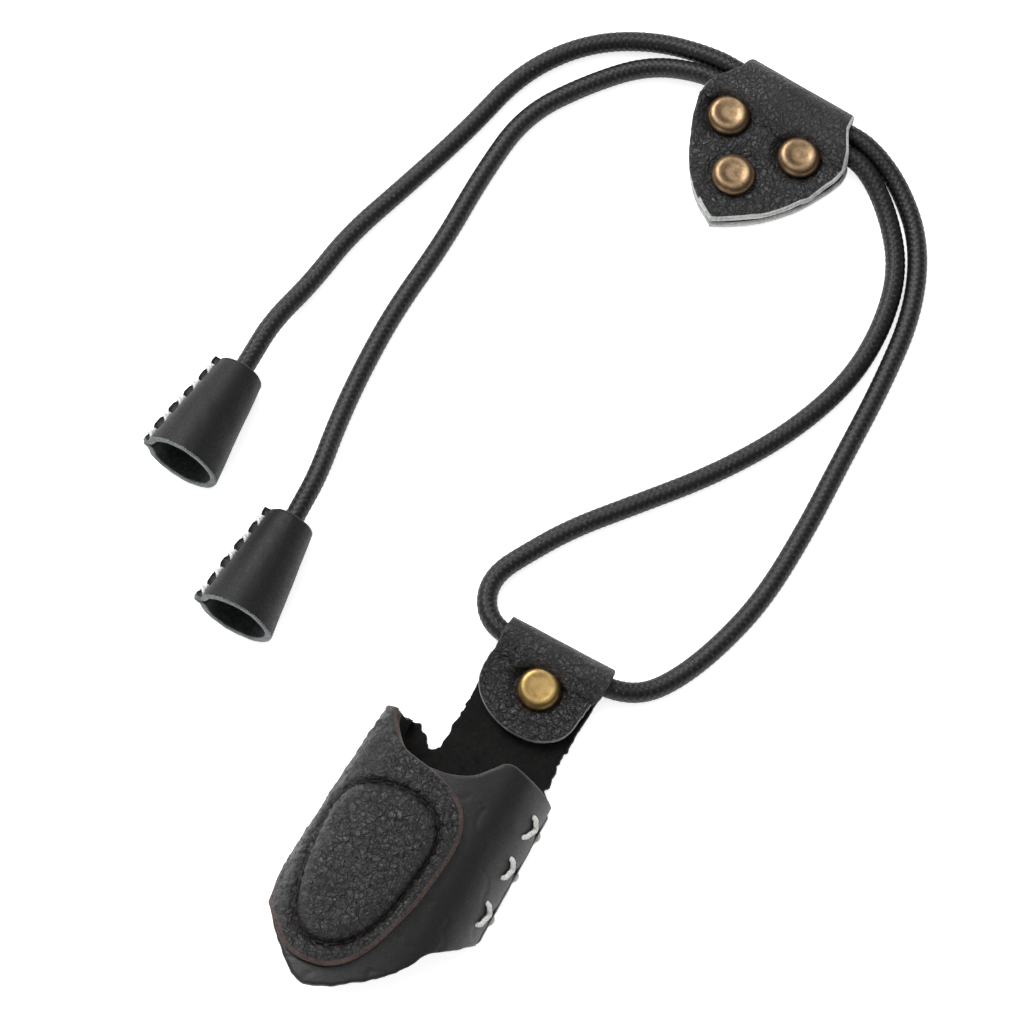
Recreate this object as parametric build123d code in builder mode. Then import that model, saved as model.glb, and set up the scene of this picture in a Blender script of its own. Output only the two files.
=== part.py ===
from build123d import *
import math
import os

# Leather thumb guard with an adjustable wrist cord.
# Frame: millimetres, +Z up. The object lies on its back: the sleeve's flat
# back panel rests on Z = 0, the strap runs along +Y to the folded tab, and the
# cord loop lies beyond it with the sliding toggle at its far end. The origin is
# on the resting face of the sleeve's back panel, on the strap's centre line.

os.makedirs("parts", exist_ok=True)

# ------------------------------------------------------------ driving sizes
LEATHER = 1.6            # sleeve, strap and toggle leather
PATCH_LEATHER = 1.4      # padded patch leather
BELL_LEATHER = 1.4       # bell leather
GAP = 0.03               # faces that lie on each other

# sleeve section (outer), seen along Y: left fold, crowned front, right wall
FOLD_R, FOLD_Z = 8.2, 8.2          # left fold radius and centre height
FOLD_X, FOLD_TAPER = -12.7, 0.055  # fold centre at Y = 15, and its flare per mm
CROWN_R = 40.0                     # crowned front panel
WALL_X, WALL_Z, WALL_R = 0.5, 3.4, 12.7
CORNER_X, CORNER_R = 10.0, 3.2     # lower right corner, where the back panel turns up
SEAM_Z = 5.0                       # height at which front and back edges meet
SEAM_SLIT = 0.12
SPLIT_Z = 8.2                      # front and back outlines part here on the fold
SLEEVE_Y0, SLEEVE_Y1 = -32.0, 28.0

STRAP_W, STRAP_CX = 20.9, -0.05
TUNNEL_Y, TUNNEL_Z = 46.0, 3.6     # tab tunnel axis, also the cord's swing axis
TUNNEL_R = 2.05

CORD_D = 3.8
RIVET_R, BACK_R, RIVET_POST_R = 4.1, 3.6, 1.4
TAB_RIVET = (0.7, 39.4)
TAB_UNDER, TAB_OVER = 1.0, 4.23    # strap underside and tongue top at the rivet

# toggle: local u along its fold, local v from the fold towards its tip
TOGGLE_O, TOGGLE_TURN = (-11.6, 169.4), -3.6
STRAND_V = (3.55, 7.5)
TOGGLE_RIVETS = [(-9.0, 14.5), (-1.9, 24.0), (6.9, 14.5)]

BELL_R0, BELL_R1, BELL_L = 4.6, 7.6, 21.8
BELL_FLANGE = 1.4
BELL_SEAM_ANGLE = 155.0
STITCH_R = 0.42

# ------------------------------------------------------------ cord route
# from the left bell's knot, through the toggle, round the outer side of the
# loop, through the tab, back on the inner side, through the toggle and to the
# right bell's knot; the cord lies on the surface between its fittings
ROUTE = [
    (-77.9, 61.4, 4.4), (-77.85, 69.5, 4.43), (-77.9, 78.0, 4.4), (-75.8, 88.8, 2.6),
    (-74.5, 101.1, 1.95), (-70.0, 115.0, 1.95), (-65.2, 130.9, 1.95), (-61.95, 146.6, 1.95),
    (-53.8, 158.4, 1.95), (-42.5, 165.2, 2.1), (-30.3, 167.03, 3.6), (-23.3, 166.59, 3.62),
    (-11.82, 165.87, 3.6), (-1.85, 165.23, 3.62), (5.14, 164.79, 3.6), (14.05, 160.4, 2.3), (22.25, 151.95, 1.95), (27.35, 138.95, 1.95),
    (28.7, 123.0, 1.95), (28.8, 106.0, 1.95), (29.1, 90.0, 1.95), (28.25, 74.95, 1.95),
    (25.4, 63.6, 1.95), (21.8, 54.7, 1.95), (17.6, 48.6, 2.6), (11.9, 46.0, 3.6),
    (4.2, 46.0, 3.63), (-3.6, 46.0, 3.6), (-11.3, 46.0, 3.62), (-15.0, 48.1, 3.05),
    (-17.1, 51.9, 2.4), (-17.0, 56.3, 1.95), (-14.6, 61.0, 1.95), (-9.25, 69.95, 1.95),
    (-0.9, 79.9, 1.95), (9.15, 92.05, 1.95), (17.6, 105.65, 1.95), (22.95, 120.1, 1.95),
    (23.65, 133.25, 1.95), (21.0, 145.3, 1.95), (14.15, 154.6, 2.2), (5.89, 160.83, 3.6),
    (-1.1, 161.27, 3.62), (-12.07, 161.96, 3.6), (-23.54, 162.68, 3.62), (-30.53, 163.12, 3.6), (-40.8, 160.0, 2.2), (-49.15, 151.2, 1.95),
    (-57.0, 139.2, 1.95), (-58.2, 124.2, 1.95), (-57.95, 108.0, 1.95), (-59.25, 92.05, 1.95),
    (-58.75, 78.0, 1.95), (-57.4, 66.4, 2.5), (-55.2, 56.0, 4.4), (-54.95, 48.4, 4.43),
    (-54.7, 40.7, 4.4),
]


def corner_radii(points):
    """0.45 of the shorter run beside each corner, over the tangent of half its turn"""
    radii = []
    for a, b, c in zip(points, points[1:], points[2:]):
        p, q = Vector(*b) - Vector(*a), Vector(*c) - Vector(*b)
        turn = math.radians(p.get_angle(q))
        radii.append(0.45 * min(p.length, q.length) / math.tan(turn / 2))
    return radii


# ------------------------------------------------------------ sleeve section
def circle_meet(a, ra, b, rb):
    """lower meeting point of two circles"""
    dx, dy = b[0] - a[0], b[1] - a[1]
    length = math.hypot(dx, dy)
    x = (length * length + ra * ra - rb * rb) / (2 * length)
    h = math.sqrt(ra * ra - x * x)
    mx, my = a[0] + dx / length * x, a[1] + dy / length * x
    p = (mx - dy / length * h, my + dx / length * h)
    q = (mx + dy / length * h, my - dx / length * h)
    return p if p[1] < q[1] else q


def fold_centre(y):
    return (FOLD_X + FOLD_TAPER * (y - 15.0), FOLD_Z)


def crown_centre(y):
    return circle_meet(fold_centre(y), CROWN_R - FOLD_R, (WALL_X, WALL_Z), CROWN_R - WALL_R)


def section_face(y, offset):
    """closed face of the sleeve's outer section at y, grown outward by offset"""
    c1, c2, c3, c4 = fold_centre(y), (WALL_X, WALL_Z), crown_centre(y), (CORNER_X, CORNER_R)
    a1 = math.degrees(math.atan2(c1[1] - c3[1], c1[0] - c3[0]))
    a2 = math.degrees(math.atan2(c2[1] - c3[1], c2[0] - c3[0]))
    with BuildSketch(Plane(origin=(0, y, 0), x_dir=(1, 0, 0), z_dir=(0, -1, 0))) as section:
        with BuildLine():
            wall = CenterArc(c2, WALL_R + offset, 0, a2)
            crown = CenterArc(c3, CROWN_R + offset, a2, a1 - a2)
            fold = CenterArc(c1, FOLD_R + offset, a1, 270 - a1)
            corner = CenterArc(c4, CORNER_R + offset, 270, 90)
            Line(fold @ 1, corner @ 0)
            Line(corner @ 1, wall @ 0)
        make_face()
    return section.sketch


def on_sleeve(x, y, offset):
    """point and outward normal of the grown front surface above plan point x, y"""
    c1, c2, c3 = fold_centre(y), (WALL_X, WALL_Z), crown_centre(y)
    for c, r in ((c3, CROWN_R), (c1, FOLD_R), (c2, WALL_R)):
        s = (x - c[0]) / (r + offset)
        if abs(s) > 1:
            continue
        n = (s, math.sqrt(1 - s * s))
        lo = (c1[0] - c3[0]) / (CROWN_R - FOLD_R)
        hi = (c2[0] - c3[0]) / (CROWN_R - WALL_R)
        if c is c3 and not lo <= s <= hi:
            continue
        if c is c1 and s > lo:
            continue
        return Vector(x, y, c[1] + (r + offset) * n[1]), Vector(n[0], 0, n[1])
    raise ValueError("no surface there")


# plan outlines of the one leather blank, as worn round the sleeve
FRONT_TOP = [(-18.7, 22.6), (-18.2, 20.9), (-16.6, 19.0), (-14.9, 17.4), (-13.2, 16.4),
             (-10.9, 15.7), (-8.0, 15.7), (-4.7, 16.3), (-1.2, 18.0), (0.9, 20.4), (2.6, 22.7)]
FRONT_RIGHT = [(2.6, 22.7), (4.4, 23.3), (8.3, 22.7), (11.0, 22.1), (12.4, 21.6), (14.6, 20.2)]
FRONT_END = [(14.6, -5.0), (12.5, -6.6), (10.6, -9.3), (8.5, -11.4), (6.6, -13.4), (4.9, -17.0),
             (1.4, -21.2), (-2.6, -24.5), (-6.0, -26.8), (-9.2, -28.0), (-11.6, -27.3),
             (-15.1, -24.6), (-18.1, -22.0), (-20.2, -20.2)]
BACK_TOP = [(-18.7, 23.4), (-17.2, 24.3), (-15.2, 23.8), (-13.6, 22.6), (-12.7, 21.5),
            (-11.7, 21.2), (-10.0, 22.0)]
BACK_END = [(14.6, -5.0), (12.0, -7.6), (8.0, -10.6), (0.0, -14.6), (-8.0, -17.6),
            (-14.0, -19.3), (-20.2, -20.2)]

with BuildPart() as blank_outline:
    with BuildSketch(Plane.XY.offset(SPLIT_Z)) as front_plan:
        with BuildLine():
            Polyline((-30, -17.2), (-30, 23.4), (-18.7, 23.4), FRONT_TOP[0])
            Spline(FRONT_TOP)
            Spline(FRONT_RIGHT)
            Line(FRONT_RIGHT[-1], FRONT_END[0])
            Spline(FRONT_END)
            Polyline(FRONT_END[-1], (-23.4, -18.2), (-30, -17.2))
        make_face()
    extrude(amount=20)
    with BuildSketch(Plane.XY.offset(SEAM_Z + SEAM_SLIT / 2)) as wall_plan:
        with BuildLine():
            Line((3.0, -14.0), (3.0, 22.9))
            Polyline((3.0, 22.9), (11.0, 22.1), (12.4, 21.6), (14.6, 20.2), (14.6, -5.0),
                     (12.5, -6.6), (10.6, -9.3), (3.0, -14.0))
        make_face()
    extrude(amount=SPLIT_Z - SEAM_Z - SEAM_SLIT / 2)
    with BuildSketch(Plane.XY.offset(-2.0)) as back_plan:
        with BuildLine():
            Polyline((-30, -17.2), (-30, 23.4), (-18.7, 23.4))
            Spline(BACK_TOP)
            Polyline(BACK_TOP[-1], (9.6, 24.0), (10.4, 23.9), (12.0, 22.6), (14.6, 20.2), (14.6, -5.0))
            Spline(BACK_END)
            Polyline(BACK_END[-1], (-23.4, -18.2), (-30, -17.2))
        make_face()
    extrude(amount=SPLIT_Z + 2.0)
    with BuildSketch(Plane.XY.offset(SEAM_Z - SEAM_SLIT / 2)) as seam_gap:
        with Locations((9.0, 0)):
            Rectangle(12.0, 80.0)
    extrude(amount=SEAM_SLIT, mode=Mode.SUBTRACT)
    with BuildSketch(Plane.XY.offset(SEAM_Z + SEAM_SLIT / 2)) as above_seam:
        with Locations((9.0, 0)):
            Rectangle(12.0, 80.0)
        with BuildLine():
            Polyline((3.0, -14.0), (3.0, 22.9), (11.0, 22.1), (12.4, 21.6), (14.6, 20.2),
                     (14.6, -5.0), (12.5, -6.6), (10.6, -9.3), close=True)
        make_face(mode=Mode.SUBTRACT)
    extrude(amount=SPLIT_Z - SEAM_Z - SEAM_SLIT / 2 - 0.001, mode=Mode.SUBTRACT)


# ------------------------------------------------------------ bent leather strips
def offset_points(points, radii, amount):
    """the polyline moved sideways (left of travel for a positive amount), mitred"""
    out, out_radii = [], []
    dirs = []
    for a, b in zip(points, points[1:]):
        length = math.hypot(b[0] - a[0], b[1] - a[1])
        dirs.append(((b[0] - a[0]) / length, (b[1] - a[1]) / length))
    for i, p in enumerate(points):
        if i == 0 or i == len(points) - 1:
            d = dirs[0] if i == 0 else dirs[-1]
            out.append((p[0] - d[1] * amount, p[1] + d[0] * amount))
            continue
        d, e = dirs[i - 1], dirs[i]
        cross = d[0] * e[1] - d[1] * e[0]
        dot = d[0] * e[0] + d[1] * e[1]
        k = amount / (1 + dot)
        out.append((p[0] - (d[1] + e[1]) * k, p[1] + (d[0] + e[0]) * k))
        out_radii.append(radii[i - 1] - amount * (1 if cross > 0 else -1))
    return out, out_radii


def strip_face(plane, points, radii, thickness):
    """closed face of a leather strip whose middle line is points with rounded corners"""
    left, left_r = offset_points(points, radii, thickness / 2)
    right, right_r = offset_points(points, radii, -thickness / 2)
    with BuildSketch(plane) as strip:
        with BuildLine():
            a = FilletPolyline(*left, radius=left_r)
            b = FilletPolyline(*right, radius=right_r)
            Line(a @ 0, b @ 0)
            Line(a @ 1, b @ 1)
        make_face()
    return strip.sketch


FOLD_MID = TUNNEL_R + LEATHER / 2            # radius of the fold's middle line
UNDER_MID = TUNNEL_Z - FOLD_MID              # middle of the leather under the tunnel
OVER_MID = TUNNEL_Z + FOLD_MID
STRAP_MID = TAB_UNDER + LEATHER / 2
TONGUE_MID = TAB_OVER - LEATHER / 2
DROP = math.radians(60.0)                    # slope of the leather down from the tunnel
TOP_TURN = FOLD_MID * math.tan(DROP / 2)     # tangent length of the upper turn
DROP_RUN = (OVER_MID - TONGUE_MID) / math.tan(DROP)

STRAP_LINE = [(16.0, 0.8), (27.5, 0.8), (34.0, STRAP_MID), (43.2, STRAP_MID),
              (TUNNEL_Y - 0.6, UNDER_MID), (TUNNEL_Y + FOLD_MID, UNDER_MID), (TUNNEL_Y + FOLD_MID, OVER_MID),
              (TUNNEL_Y - TOP_TURN, OVER_MID), (TUNNEL_Y - TOP_TURN - DROP_RUN, TONGUE_MID),
              (30.2, TONGUE_MID)]
STRAP_RADII = [14.0, 14.0, 2.4, 2.4, FOLD_MID - 0.005, FOLD_MID - 0.005, FOLD_MID - 0.01, 2.0]

# ------------------------------------------------------------ thumb sleeve, one leather piece
with BuildPart() as thumb_sleeve:
    loft([section_face(SLEEVE_Y0, 0.0), section_face(SLEEVE_Y1, 0.0)], ruled=True)
    loft([section_face(SLEEVE_Y0 - 1, -LEATHER), section_face(SLEEVE_Y1 + 1, -LEATHER)],
         ruled=True, mode=Mode.SUBTRACT)
    add(blank_outline.part, mode=Mode.INTERSECT)
    extrude(strip_face(Plane.YZ.offset(STRAP_CX), STRAP_LINE, STRAP_RADII, LEATHER),
            amount=STRAP_W / 2, both=True)
    # rounded tongue, cut above the strap only
    with BuildSketch(Plane.XY.offset(TONGUE_MID - LEATHER / 2 - 0.015)) as tongue_waste:
        with Locations((STRAP_CX, 33.0)):
            Rectangle(30.0, 12.0)
        with BuildLine():
            Line((-10.6, 40.0), (-10.45, 38.6))
            Spline((-10.45, 38.6), (-10.0, 36.4), (-8.6, 34.3), (-5.9, 32.1), (-2.2, 30.7),
                   (1.9, 30.4), (5.3, 31.3), (8.6, 33.7), (10.1, 36.2), (10.35, 38.6))
            Polyline((10.35, 38.6), (10.5, 40.0), (-10.6, 40.0))
        make_face(mode=Mode.SUBTRACT)
    extrude(amount=3.0, mode=Mode.SUBTRACT)
    # rivet hole through strap and tongue, and the seat that the cap presses
    with Locations((TAB_RIVET[0], TAB_RIVET[1], 0)):
        Cylinder(RIVET_POST_R + 0.06, 8.0, align=(Align.CENTER, Align.CENTER, Align.MIN), mode=Mode.SUBTRACT)
    with Locations((TAB_RIVET[0], TAB_RIVET[1], TAB_OVER)):
        Cylinder(RIVET_R + 0.05, 3.2, align=(Align.CENTER, Align.CENTER, Align.MIN), mode=Mode.SUBTRACT)

# stitch holes along the right seam
SEAM_STITCHES = [16.2, 8.3, -0.4]
UPPER_A, LOWER_A = 24.2, -35.0


def ray(centre, angle):
    return Vector(math.cos(math.radians(angle)), 0, math.sin(math.radians(angle)))


def seam_path(y):
    c2, c4 = (WALL_X, WALL_Z), (CORNER_X, CORNER_R)

    def at(c, r, a):
        return (c[0] + r * math.cos(math.radians(a)), y, c[1] + r * math.sin(math.radians(a)))
    return [at(c2, WALL_R + 0.48, UPPER_A), (13.74, y, 6.2), (13.74, y, 2.6),
            at(c4, CORNER_R + 0.48, LOWER_A), at(c4, CORNER_R - LEATHER - 0.5, LOWER_A),
            at(c2, WALL_R - LEATHER - 0.5, UPPER_A)]


with BuildPart() as seam_awl:
    for y in SEAM_STITCHES:
        for (cx, cz), r, a in (((WALL_X, WALL_Z), WALL_R, UPPER_A), ((CORNER_X, CORNER_R), CORNER_R, LOWER_A)):
            d = Vector(math.cos(math.radians(a)), 0, math.sin(math.radians(a)))
            start = Vector(cx, y, cz) + d * (r - LEATHER - 0.4)
            with BuildSketch(Plane(origin=start, z_dir=d)) as awl:
                Circle(STITCH_R + 0.06)
            extrude(amount=LEATHER + 1.2)

with BuildPart() as thumb_sleeve_done:
    add(thumb_sleeve.part)
    add(seam_awl.part, mode=Mode.SUBTRACT)
thumb_sleeve_done.part.label = "thumb_sleeve"
export_step(thumb_sleeve_done.part, "parts/thumb_sleeve.step")

stitch_loops = []
for y in SEAM_STITCHES:
    with BuildPart() as seam_stitch:
        with BuildLine() as seam_line:
            FilletPolyline(*seam_path(y), radius=0.45, close=True)
        with BuildSketch(Plane(origin=seam_line.line @ 0, z_dir=seam_line.line % 0)) as thread:
            Circle(STITCH_R)
        sweep(path=seam_line.line)
    stitch_loops.append(seam_stitch.part)
with BuildPart() as seam_stitching:
    for loop in stitch_loops:
        add(loop)
seam_stitching.part.label = "seam_stitching"
export_step(seam_stitching.part, "parts/seam_stitching.step")

# ------------------------------------------------------------ padded patch
PATCH = [(-18.8, 16.3), (-13.6, 16.3), (-11.0, 16.0), (-7.8, 15.4), (-4.7, 14.5), (-1.9, 13.3),
         (-0.2, 12.2), (1.1, 10.6), (2.0, 8.8), (2.6, 6.6), (2.7, 3.8), (2.4, -0.2), (1.6, -6.4),
         (0.5, -10.8), (-1.0, -15.8), (-2.6, -19.2), (-4.2, -21.4), (-5.8, -22.8), (-7.6, -23.8),
         (-9.7, -24.3), (-12.0, -24.3), (-14.2, -23.5), (-16.2, -22.2), (-18.1, -20.7), (-20.6, -18.2)]
PATCH_SIDE = [(16.4, 15.0), (14.6, 10.6), (11.5, 7.6), (6.0, 6.1), (0.0, 5.7), (-6.0, 6.1),
              (-12.0, 8.2), (-17.0, 11.8), (-21.0, 14.0), (-26.5, 15.0)]
GROOVE = [(-16.7, 8.2), (-14.6, 9.2), (-11.7, 9.8), (-8.1, 9.9), (-5.6, 9.4), (-3.5, 8.5),
          (-1.8, 6.9), (-0.9, 5.1), (-0.5, 3.0), (-0.5, 0.4), (-0.9, -3.4), (-1.5, -8.2),
          (-2.4, -11.8), (-3.6, -14.9), (-5.2, -17.5), (-7.5, -19.5), (-9.9, -20.5), (-12.0, -20.6),
          (-13.8, -20.1), (-15.4, -19.0), (-16.8, -17.2), (-17.8, -15.1), (-18.6, -12.4),
          (-19.3, -9.0), (-19.8, -5.3), (-20.1, -1.3), (-20.0, 1.9), (-19.5, 4.7), (-18.4, 6.9)]


def grown(points, amount):
    """closed outline moved outward by amount"""
    moved = []
    for a, b, c in zip(points[-1:] + points[:-1], points, points[1:] + points[:1]):
        tx, ty = c[0] - a[0], c[1] - a[1]
        length = math.hypot(tx, ty)
        moved.append((b[0] - ty / length * amount, b[1] + tx / length * amount))
    return moved


def groove_region(grow, bottom, top):
    """prism over the groove's plan outline, grown by grow, between two heights"""
    with BuildPart() as region:
        with BuildSketch(Plane.XY.offset(bottom)):
            with BuildLine():
                Spline(grown(GROOVE, grow), periodic=True)
            make_face()
        extrude(amount=top - bottom)
    return region.part


def sleeve_skin(inner, outer):
    """layer of leather lying on the sleeve between two offsets"""
    with BuildPart() as skin:
        loft([section_face(SLEEVE_Y0, outer), section_face(SLEEVE_Y1, outer)], ruled=True)
        loft([section_face(SLEEVE_Y0 - 1, inner), section_face(SLEEVE_Y1 + 1, inner)],
             ruled=True, mode=Mode.SUBTRACT)
    return skin.part


PAD_RISE = 1.45
PAD_FLOOR = 8.8          # the raised oval stays on the fold's upper half
puff_zone = groove_region(-0.9, PAD_FLOOR, 30.0)
core_zone = groove_region(-1.7, PAD_FLOOR, 30.0)
with BuildPart() as groove_ring:
    add(groove_region(0.5, PAD_FLOOR, 30.0))
    add(groove_region(-0.5, PAD_FLOOR - 1, 31.0), mode=Mode.SUBTRACT)
with BuildPart() as puff:
    add(sleeve_skin(PATCH_LEATHER - 0.2, PATCH_LEATHER + PAD_RISE))
    add(puff_zone, mode=Mode.INTERSECT)
with BuildPart() as pad_core:
    add(sleeve_skin(GAP, PAD_RISE - GAP))
    add(core_zone, mode=Mode.INTERSECT)
pad_core.part.label = "pad_core"
export_step(pad_core.part, "parts/pad_core.step")
with BuildPart() as pocket:
    add(sleeve_skin(-0.5, PAD_RISE))
    add(groove_region(-1.65, PAD_FLOOR, 31.0), mode=Mode.INTERSECT)
with BuildPart() as channel:
    add(sleeve_skin(PATCH_LEATHER - 0.5, PATCH_LEATHER + 0.6))
    add(groove_ring.part, mode=Mode.INTERSECT)
with BuildPart() as pad_cover:
    add(sleeve_skin(GAP, PATCH_LEATHER))
    with BuildSketch(Plane.XY.offset(2.0)):
        with BuildLine():
            Polyline((-20.6, -18.2), (-30, -17.6), (-30, 16.3), (-18.8, 16.3))
            Spline(PATCH)
        make_face()
    extrude(amount=30, mode=Mode.INTERSECT)
    with BuildSketch(Plane.YZ.offset(-30.0)):
        with BuildLine():
            Polyline((-26.5, 15.0), (-26.5, 30.0), (16.4, 30.0), (16.4, 15.0))
            Spline(PATCH_SIDE)
        make_face()
    extrude(amount=60, mode=Mode.INTERSECT)
    add(puff.part)
    add(pocket.part, mode=Mode.SUBTRACT)
    add(channel.part, mode=Mode.SUBTRACT)
pad_cover.part.label = "pad_cover"
export_step(pad_cover.part, "parts/pad_cover.step")

# thread lying in the groove: even stitches along the oval
with BuildLine() as groove_line:
    Spline(GROOVE, periodic=True)
PAD_STITCHES, STITCH_FILL = 32, 0.74
stitch_places = []
for i in range(PAD_STITCHES):
    a = groove_line.line @ (i / PAD_STITCHES)
    b = groove_line.line @ ((i + STITCH_FILL) / PAD_STITCHES)
    pa, na = on_sleeve(a.X, a.Y, PATCH_LEATHER)
    pb, nb = on_sleeve(b.X, b.Y, PATCH_LEATHER)
    pa, pb = pa - na * 0.15, pb - nb * 0.15
    stitch_places.append((Location(Plane(origin=(pa + pb) / 2, z_dir=pb - pa)), (pb - pa).length))
with BuildPart() as pad_stitching:
    for place, length in stitch_places:
        with Locations(place):
            Cylinder(0.3, length)
pad_stitching.part.label = "pad_stitching"
export_step(pad_stitching.part, "parts/pad_stitching.step")


# ------------------------------------------------------------ rivets
def rivet_cap(x, y, z, height, flat):
    """domed cap with a flat of radius flat on top and a blind socket below"""
    with BuildPart() as cap:
        with BuildSketch(Plane(origin=(x, y, z), x_dir=(1, 0, 0), z_dir=(0, -1, 0))):
            with BuildLine():
                Line((0, 0), (RIVET_R - 0.35, 0))
                e = EllipticalCenterArc((flat, 0.35), RIVET_R - flat, height - 0.35, start_angle=0, arc_size=90)
                Line((RIVET_R - 0.35, 0), (RIVET_R, 0.35))
                Line(e @ 1, (0, height))
                Line((0, height), (0, 0))
            make_face()
        revolve(axis=Axis((x, y, z), (0, 0, 1)))
        with Locations((x, y, z)):
            Cylinder(RIVET_POST_R + 0.02, 1.1, align=(Align.CENTER, Align.CENTER, Align.MIN), mode=Mode.SUBTRACT)
    return cap.part


def rivet_back(x, y, head, top):
    """low back cap on the resting face and a hollow-ended post up to top"""
    with BuildPart() as back:
        with BuildSketch(Plane(origin=(x, y, 0), x_dir=(1, 0, 0), z_dir=(0, -1, 0))):
            with BuildLine():
                Polyline((0, 0), (BACK_R - 1.2, 0), (BACK_R, 0.45), (BACK_R, head),
                         (RIVET_POST_R, head), (RIVET_POST_R, top - 0.25), (RIVET_POST_R - 0.25, top),
                         (0, top), (0, 0))
            make_face()
        revolve(axis=Axis((x, y, 0), (0, 0, 1)))
    return back.part


with BuildPart() as tab_rivet_cap:
    add(rivet_cap(TAB_RIVET[0], TAB_RIVET[1], TAB_OVER + GAP, 1.9, 2.4))
tab_rivet_cap.part.label = "tab_rivet_cap"
export_step(tab_rivet_cap.part, "parts/tab_rivet_cap.step")
with BuildPart() as tab_rivet_post:
    add(rivet_back(TAB_RIVET[0], TAB_RIVET[1], TAB_UNDER - GAP, TAB_OVER + 1.0))
tab_rivet_post.part.label = "tab_rivet_post"
export_step(tab_rivet_post.part, "parts/tab_rivet_post.step")

# ------------------------------------------------------------ cord toggle
TURN = math.radians(TOGGLE_TURN)
TOGGLE_U = (math.cos(TURN), math.sin(TURN))
TOGGLE_V = (math.sin(TURN), -math.cos(TURN))


def toggle_point(u, v):
    return (TOGGLE_O[0] + u * TOGGLE_U[0] + v * TOGGLE_V[0], TOGGLE_O[1] + u * TOGGLE_U[1] + v * TOGGLE_V[1])


FOLD_V = TUNNEL_R + LEATHER                   # fold centre below the fold's outer line
TOGGLE_LINE = [(40.0, STRAP_MID), (STRAND_V[1] + 2.8, STRAP_MID), (STRAND_V[1] + 0.6, UNDER_MID), (FOLD_V - FOLD_MID, UNDER_MID),
               (FOLD_V - FOLD_MID, OVER_MID), (STRAND_V[1] + TOP_TURN, OVER_MID),
               (STRAND_V[1] + TOP_TURN + DROP_RUN, TONGUE_MID), (40.0, TONGUE_MID)]
TOGGLE_RADII = [2.4, 2.4, FOLD_MID - 0.005, FOLD_MID - 0.005, FOLD_MID - 0.01, 2.0]
TOGGLE_RIGHT = [(11.3, 0.5), (12.2, 4.6), (13.8, 7.3), (15.3, 9.6), (15.6, 11.6), (15.2, 13.6),
                (13.8, 17.1), (11.1, 22.1), (6.8, 27.2), (2.2, 30.9), (-1.4, 33.2)]
TOGGLE_LEFT = [(-1.4, 33.2), (-5.9, 30.6), (-9.6, 27.1), (-12.4, 22.9), (-14.6, 18.4), (-16.0, 14.4),
               (-16.6, 11.4), (-16.2, 9.2), (-14.2, 6.3), (-12.4, 3.6), (-11.3, 0.5)]
with BuildPart() as slider_leather:
    extrude(strip_face(Plane(origin=(*TOGGLE_O, 0), x_dir=(*TOGGLE_V, 0), z_dir=(-TOGGLE_U[0], -TOGGLE_U[1], 0)),
                       TOGGLE_LINE, TOGGLE_RADII, LEATHER), amount=20, both=True)
    with BuildSketch(Plane(origin=(*TOGGLE_O, -1), x_dir=(*TOGGLE_U, 0), z_dir=(0, 0, 1))):
        with BuildLine():
            Spline([(u, -v) for u, v in TOGGLE_RIGHT])
            Spline([(u, -v) for u, v in TOGGLE_LEFT])
            Polyline((-11.3, -0.5), (-11.3, 2.0), (11.3, 2.0), (11.3, -0.5))
        make_face()
    extrude(amount=12, mode=Mode.INTERSECT)
    for u, v in TOGGLE_RIVETS:
        with Locations((*toggle_point(u, v), 0)):
            Cylinder(RIVET_POST_R + 0.06, 8.0, align=(Align.CENTER, Align.CENTER, Align.MIN), mode=Mode.SUBTRACT)
        with Locations((*toggle_point(u, v), TAB_OVER)):
            Cylinder(RIVET_R + 0.05, 3.2, align=(Align.CENTER, Align.CENTER, Align.MIN), mode=Mode.SUBTRACT)
slider_leather.part.label = "slider_leather"
export_step(slider_leather.part, "parts/slider_leather.step")

with BuildPart() as slider_rivet_caps:
    for u, v in TOGGLE_RIVETS:
        add(rivet_cap(*toggle_point(u, v), TAB_OVER + GAP, 2.3, 0.6))
slider_rivet_caps.part.label = "slider_rivet_caps"
export_step(slider_rivet_caps.part, "parts/slider_rivet_caps.step")
with BuildPart() as slider_rivet_posts:
    for u, v in TOGGLE_RIVETS:
        add(rivet_back(*toggle_point(u, v), TAB_UNDER - GAP, TAB_OVER + 1.0))
slider_rivet_posts.part.label = "slider_rivet_posts"
export_step(slider_rivet_posts.part, "parts/slider_rivet_posts.step")

# ------------------------------------------------------------ bells
HALF_ANGLE = math.atan((BELL_R1 - BELL_R0) / BELL_L)


def bell_frame(x, y, turn):
    """neck centre, axis towards the mouth, seam direction and its normal"""
    h = math.radians(turn)
    flat = Vector(math.sin(h), -math.cos(h), 0)
    axis = flat * math.cos(HALF_ANGLE) + Vector(0, 0, math.sin(HALF_ANGLE))
    side = Vector(math.cos(h), math.sin(h), 0)
    up = axis.cross(side) * -1
    if up.Z < 0:
        up = up * -1
    s = math.radians(BELL_SEAM_ANGLE)
    seam = side * math.cos(s) + up * math.sin(s)
    neck = Vector(x, y, BELL_R0 * math.cos(HALF_ANGLE))
    return neck, axis, seam, axis.cross(seam)


BELL_STITCHES = [2.4, 6.6, 10.8, 15.0, 19.2]


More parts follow.
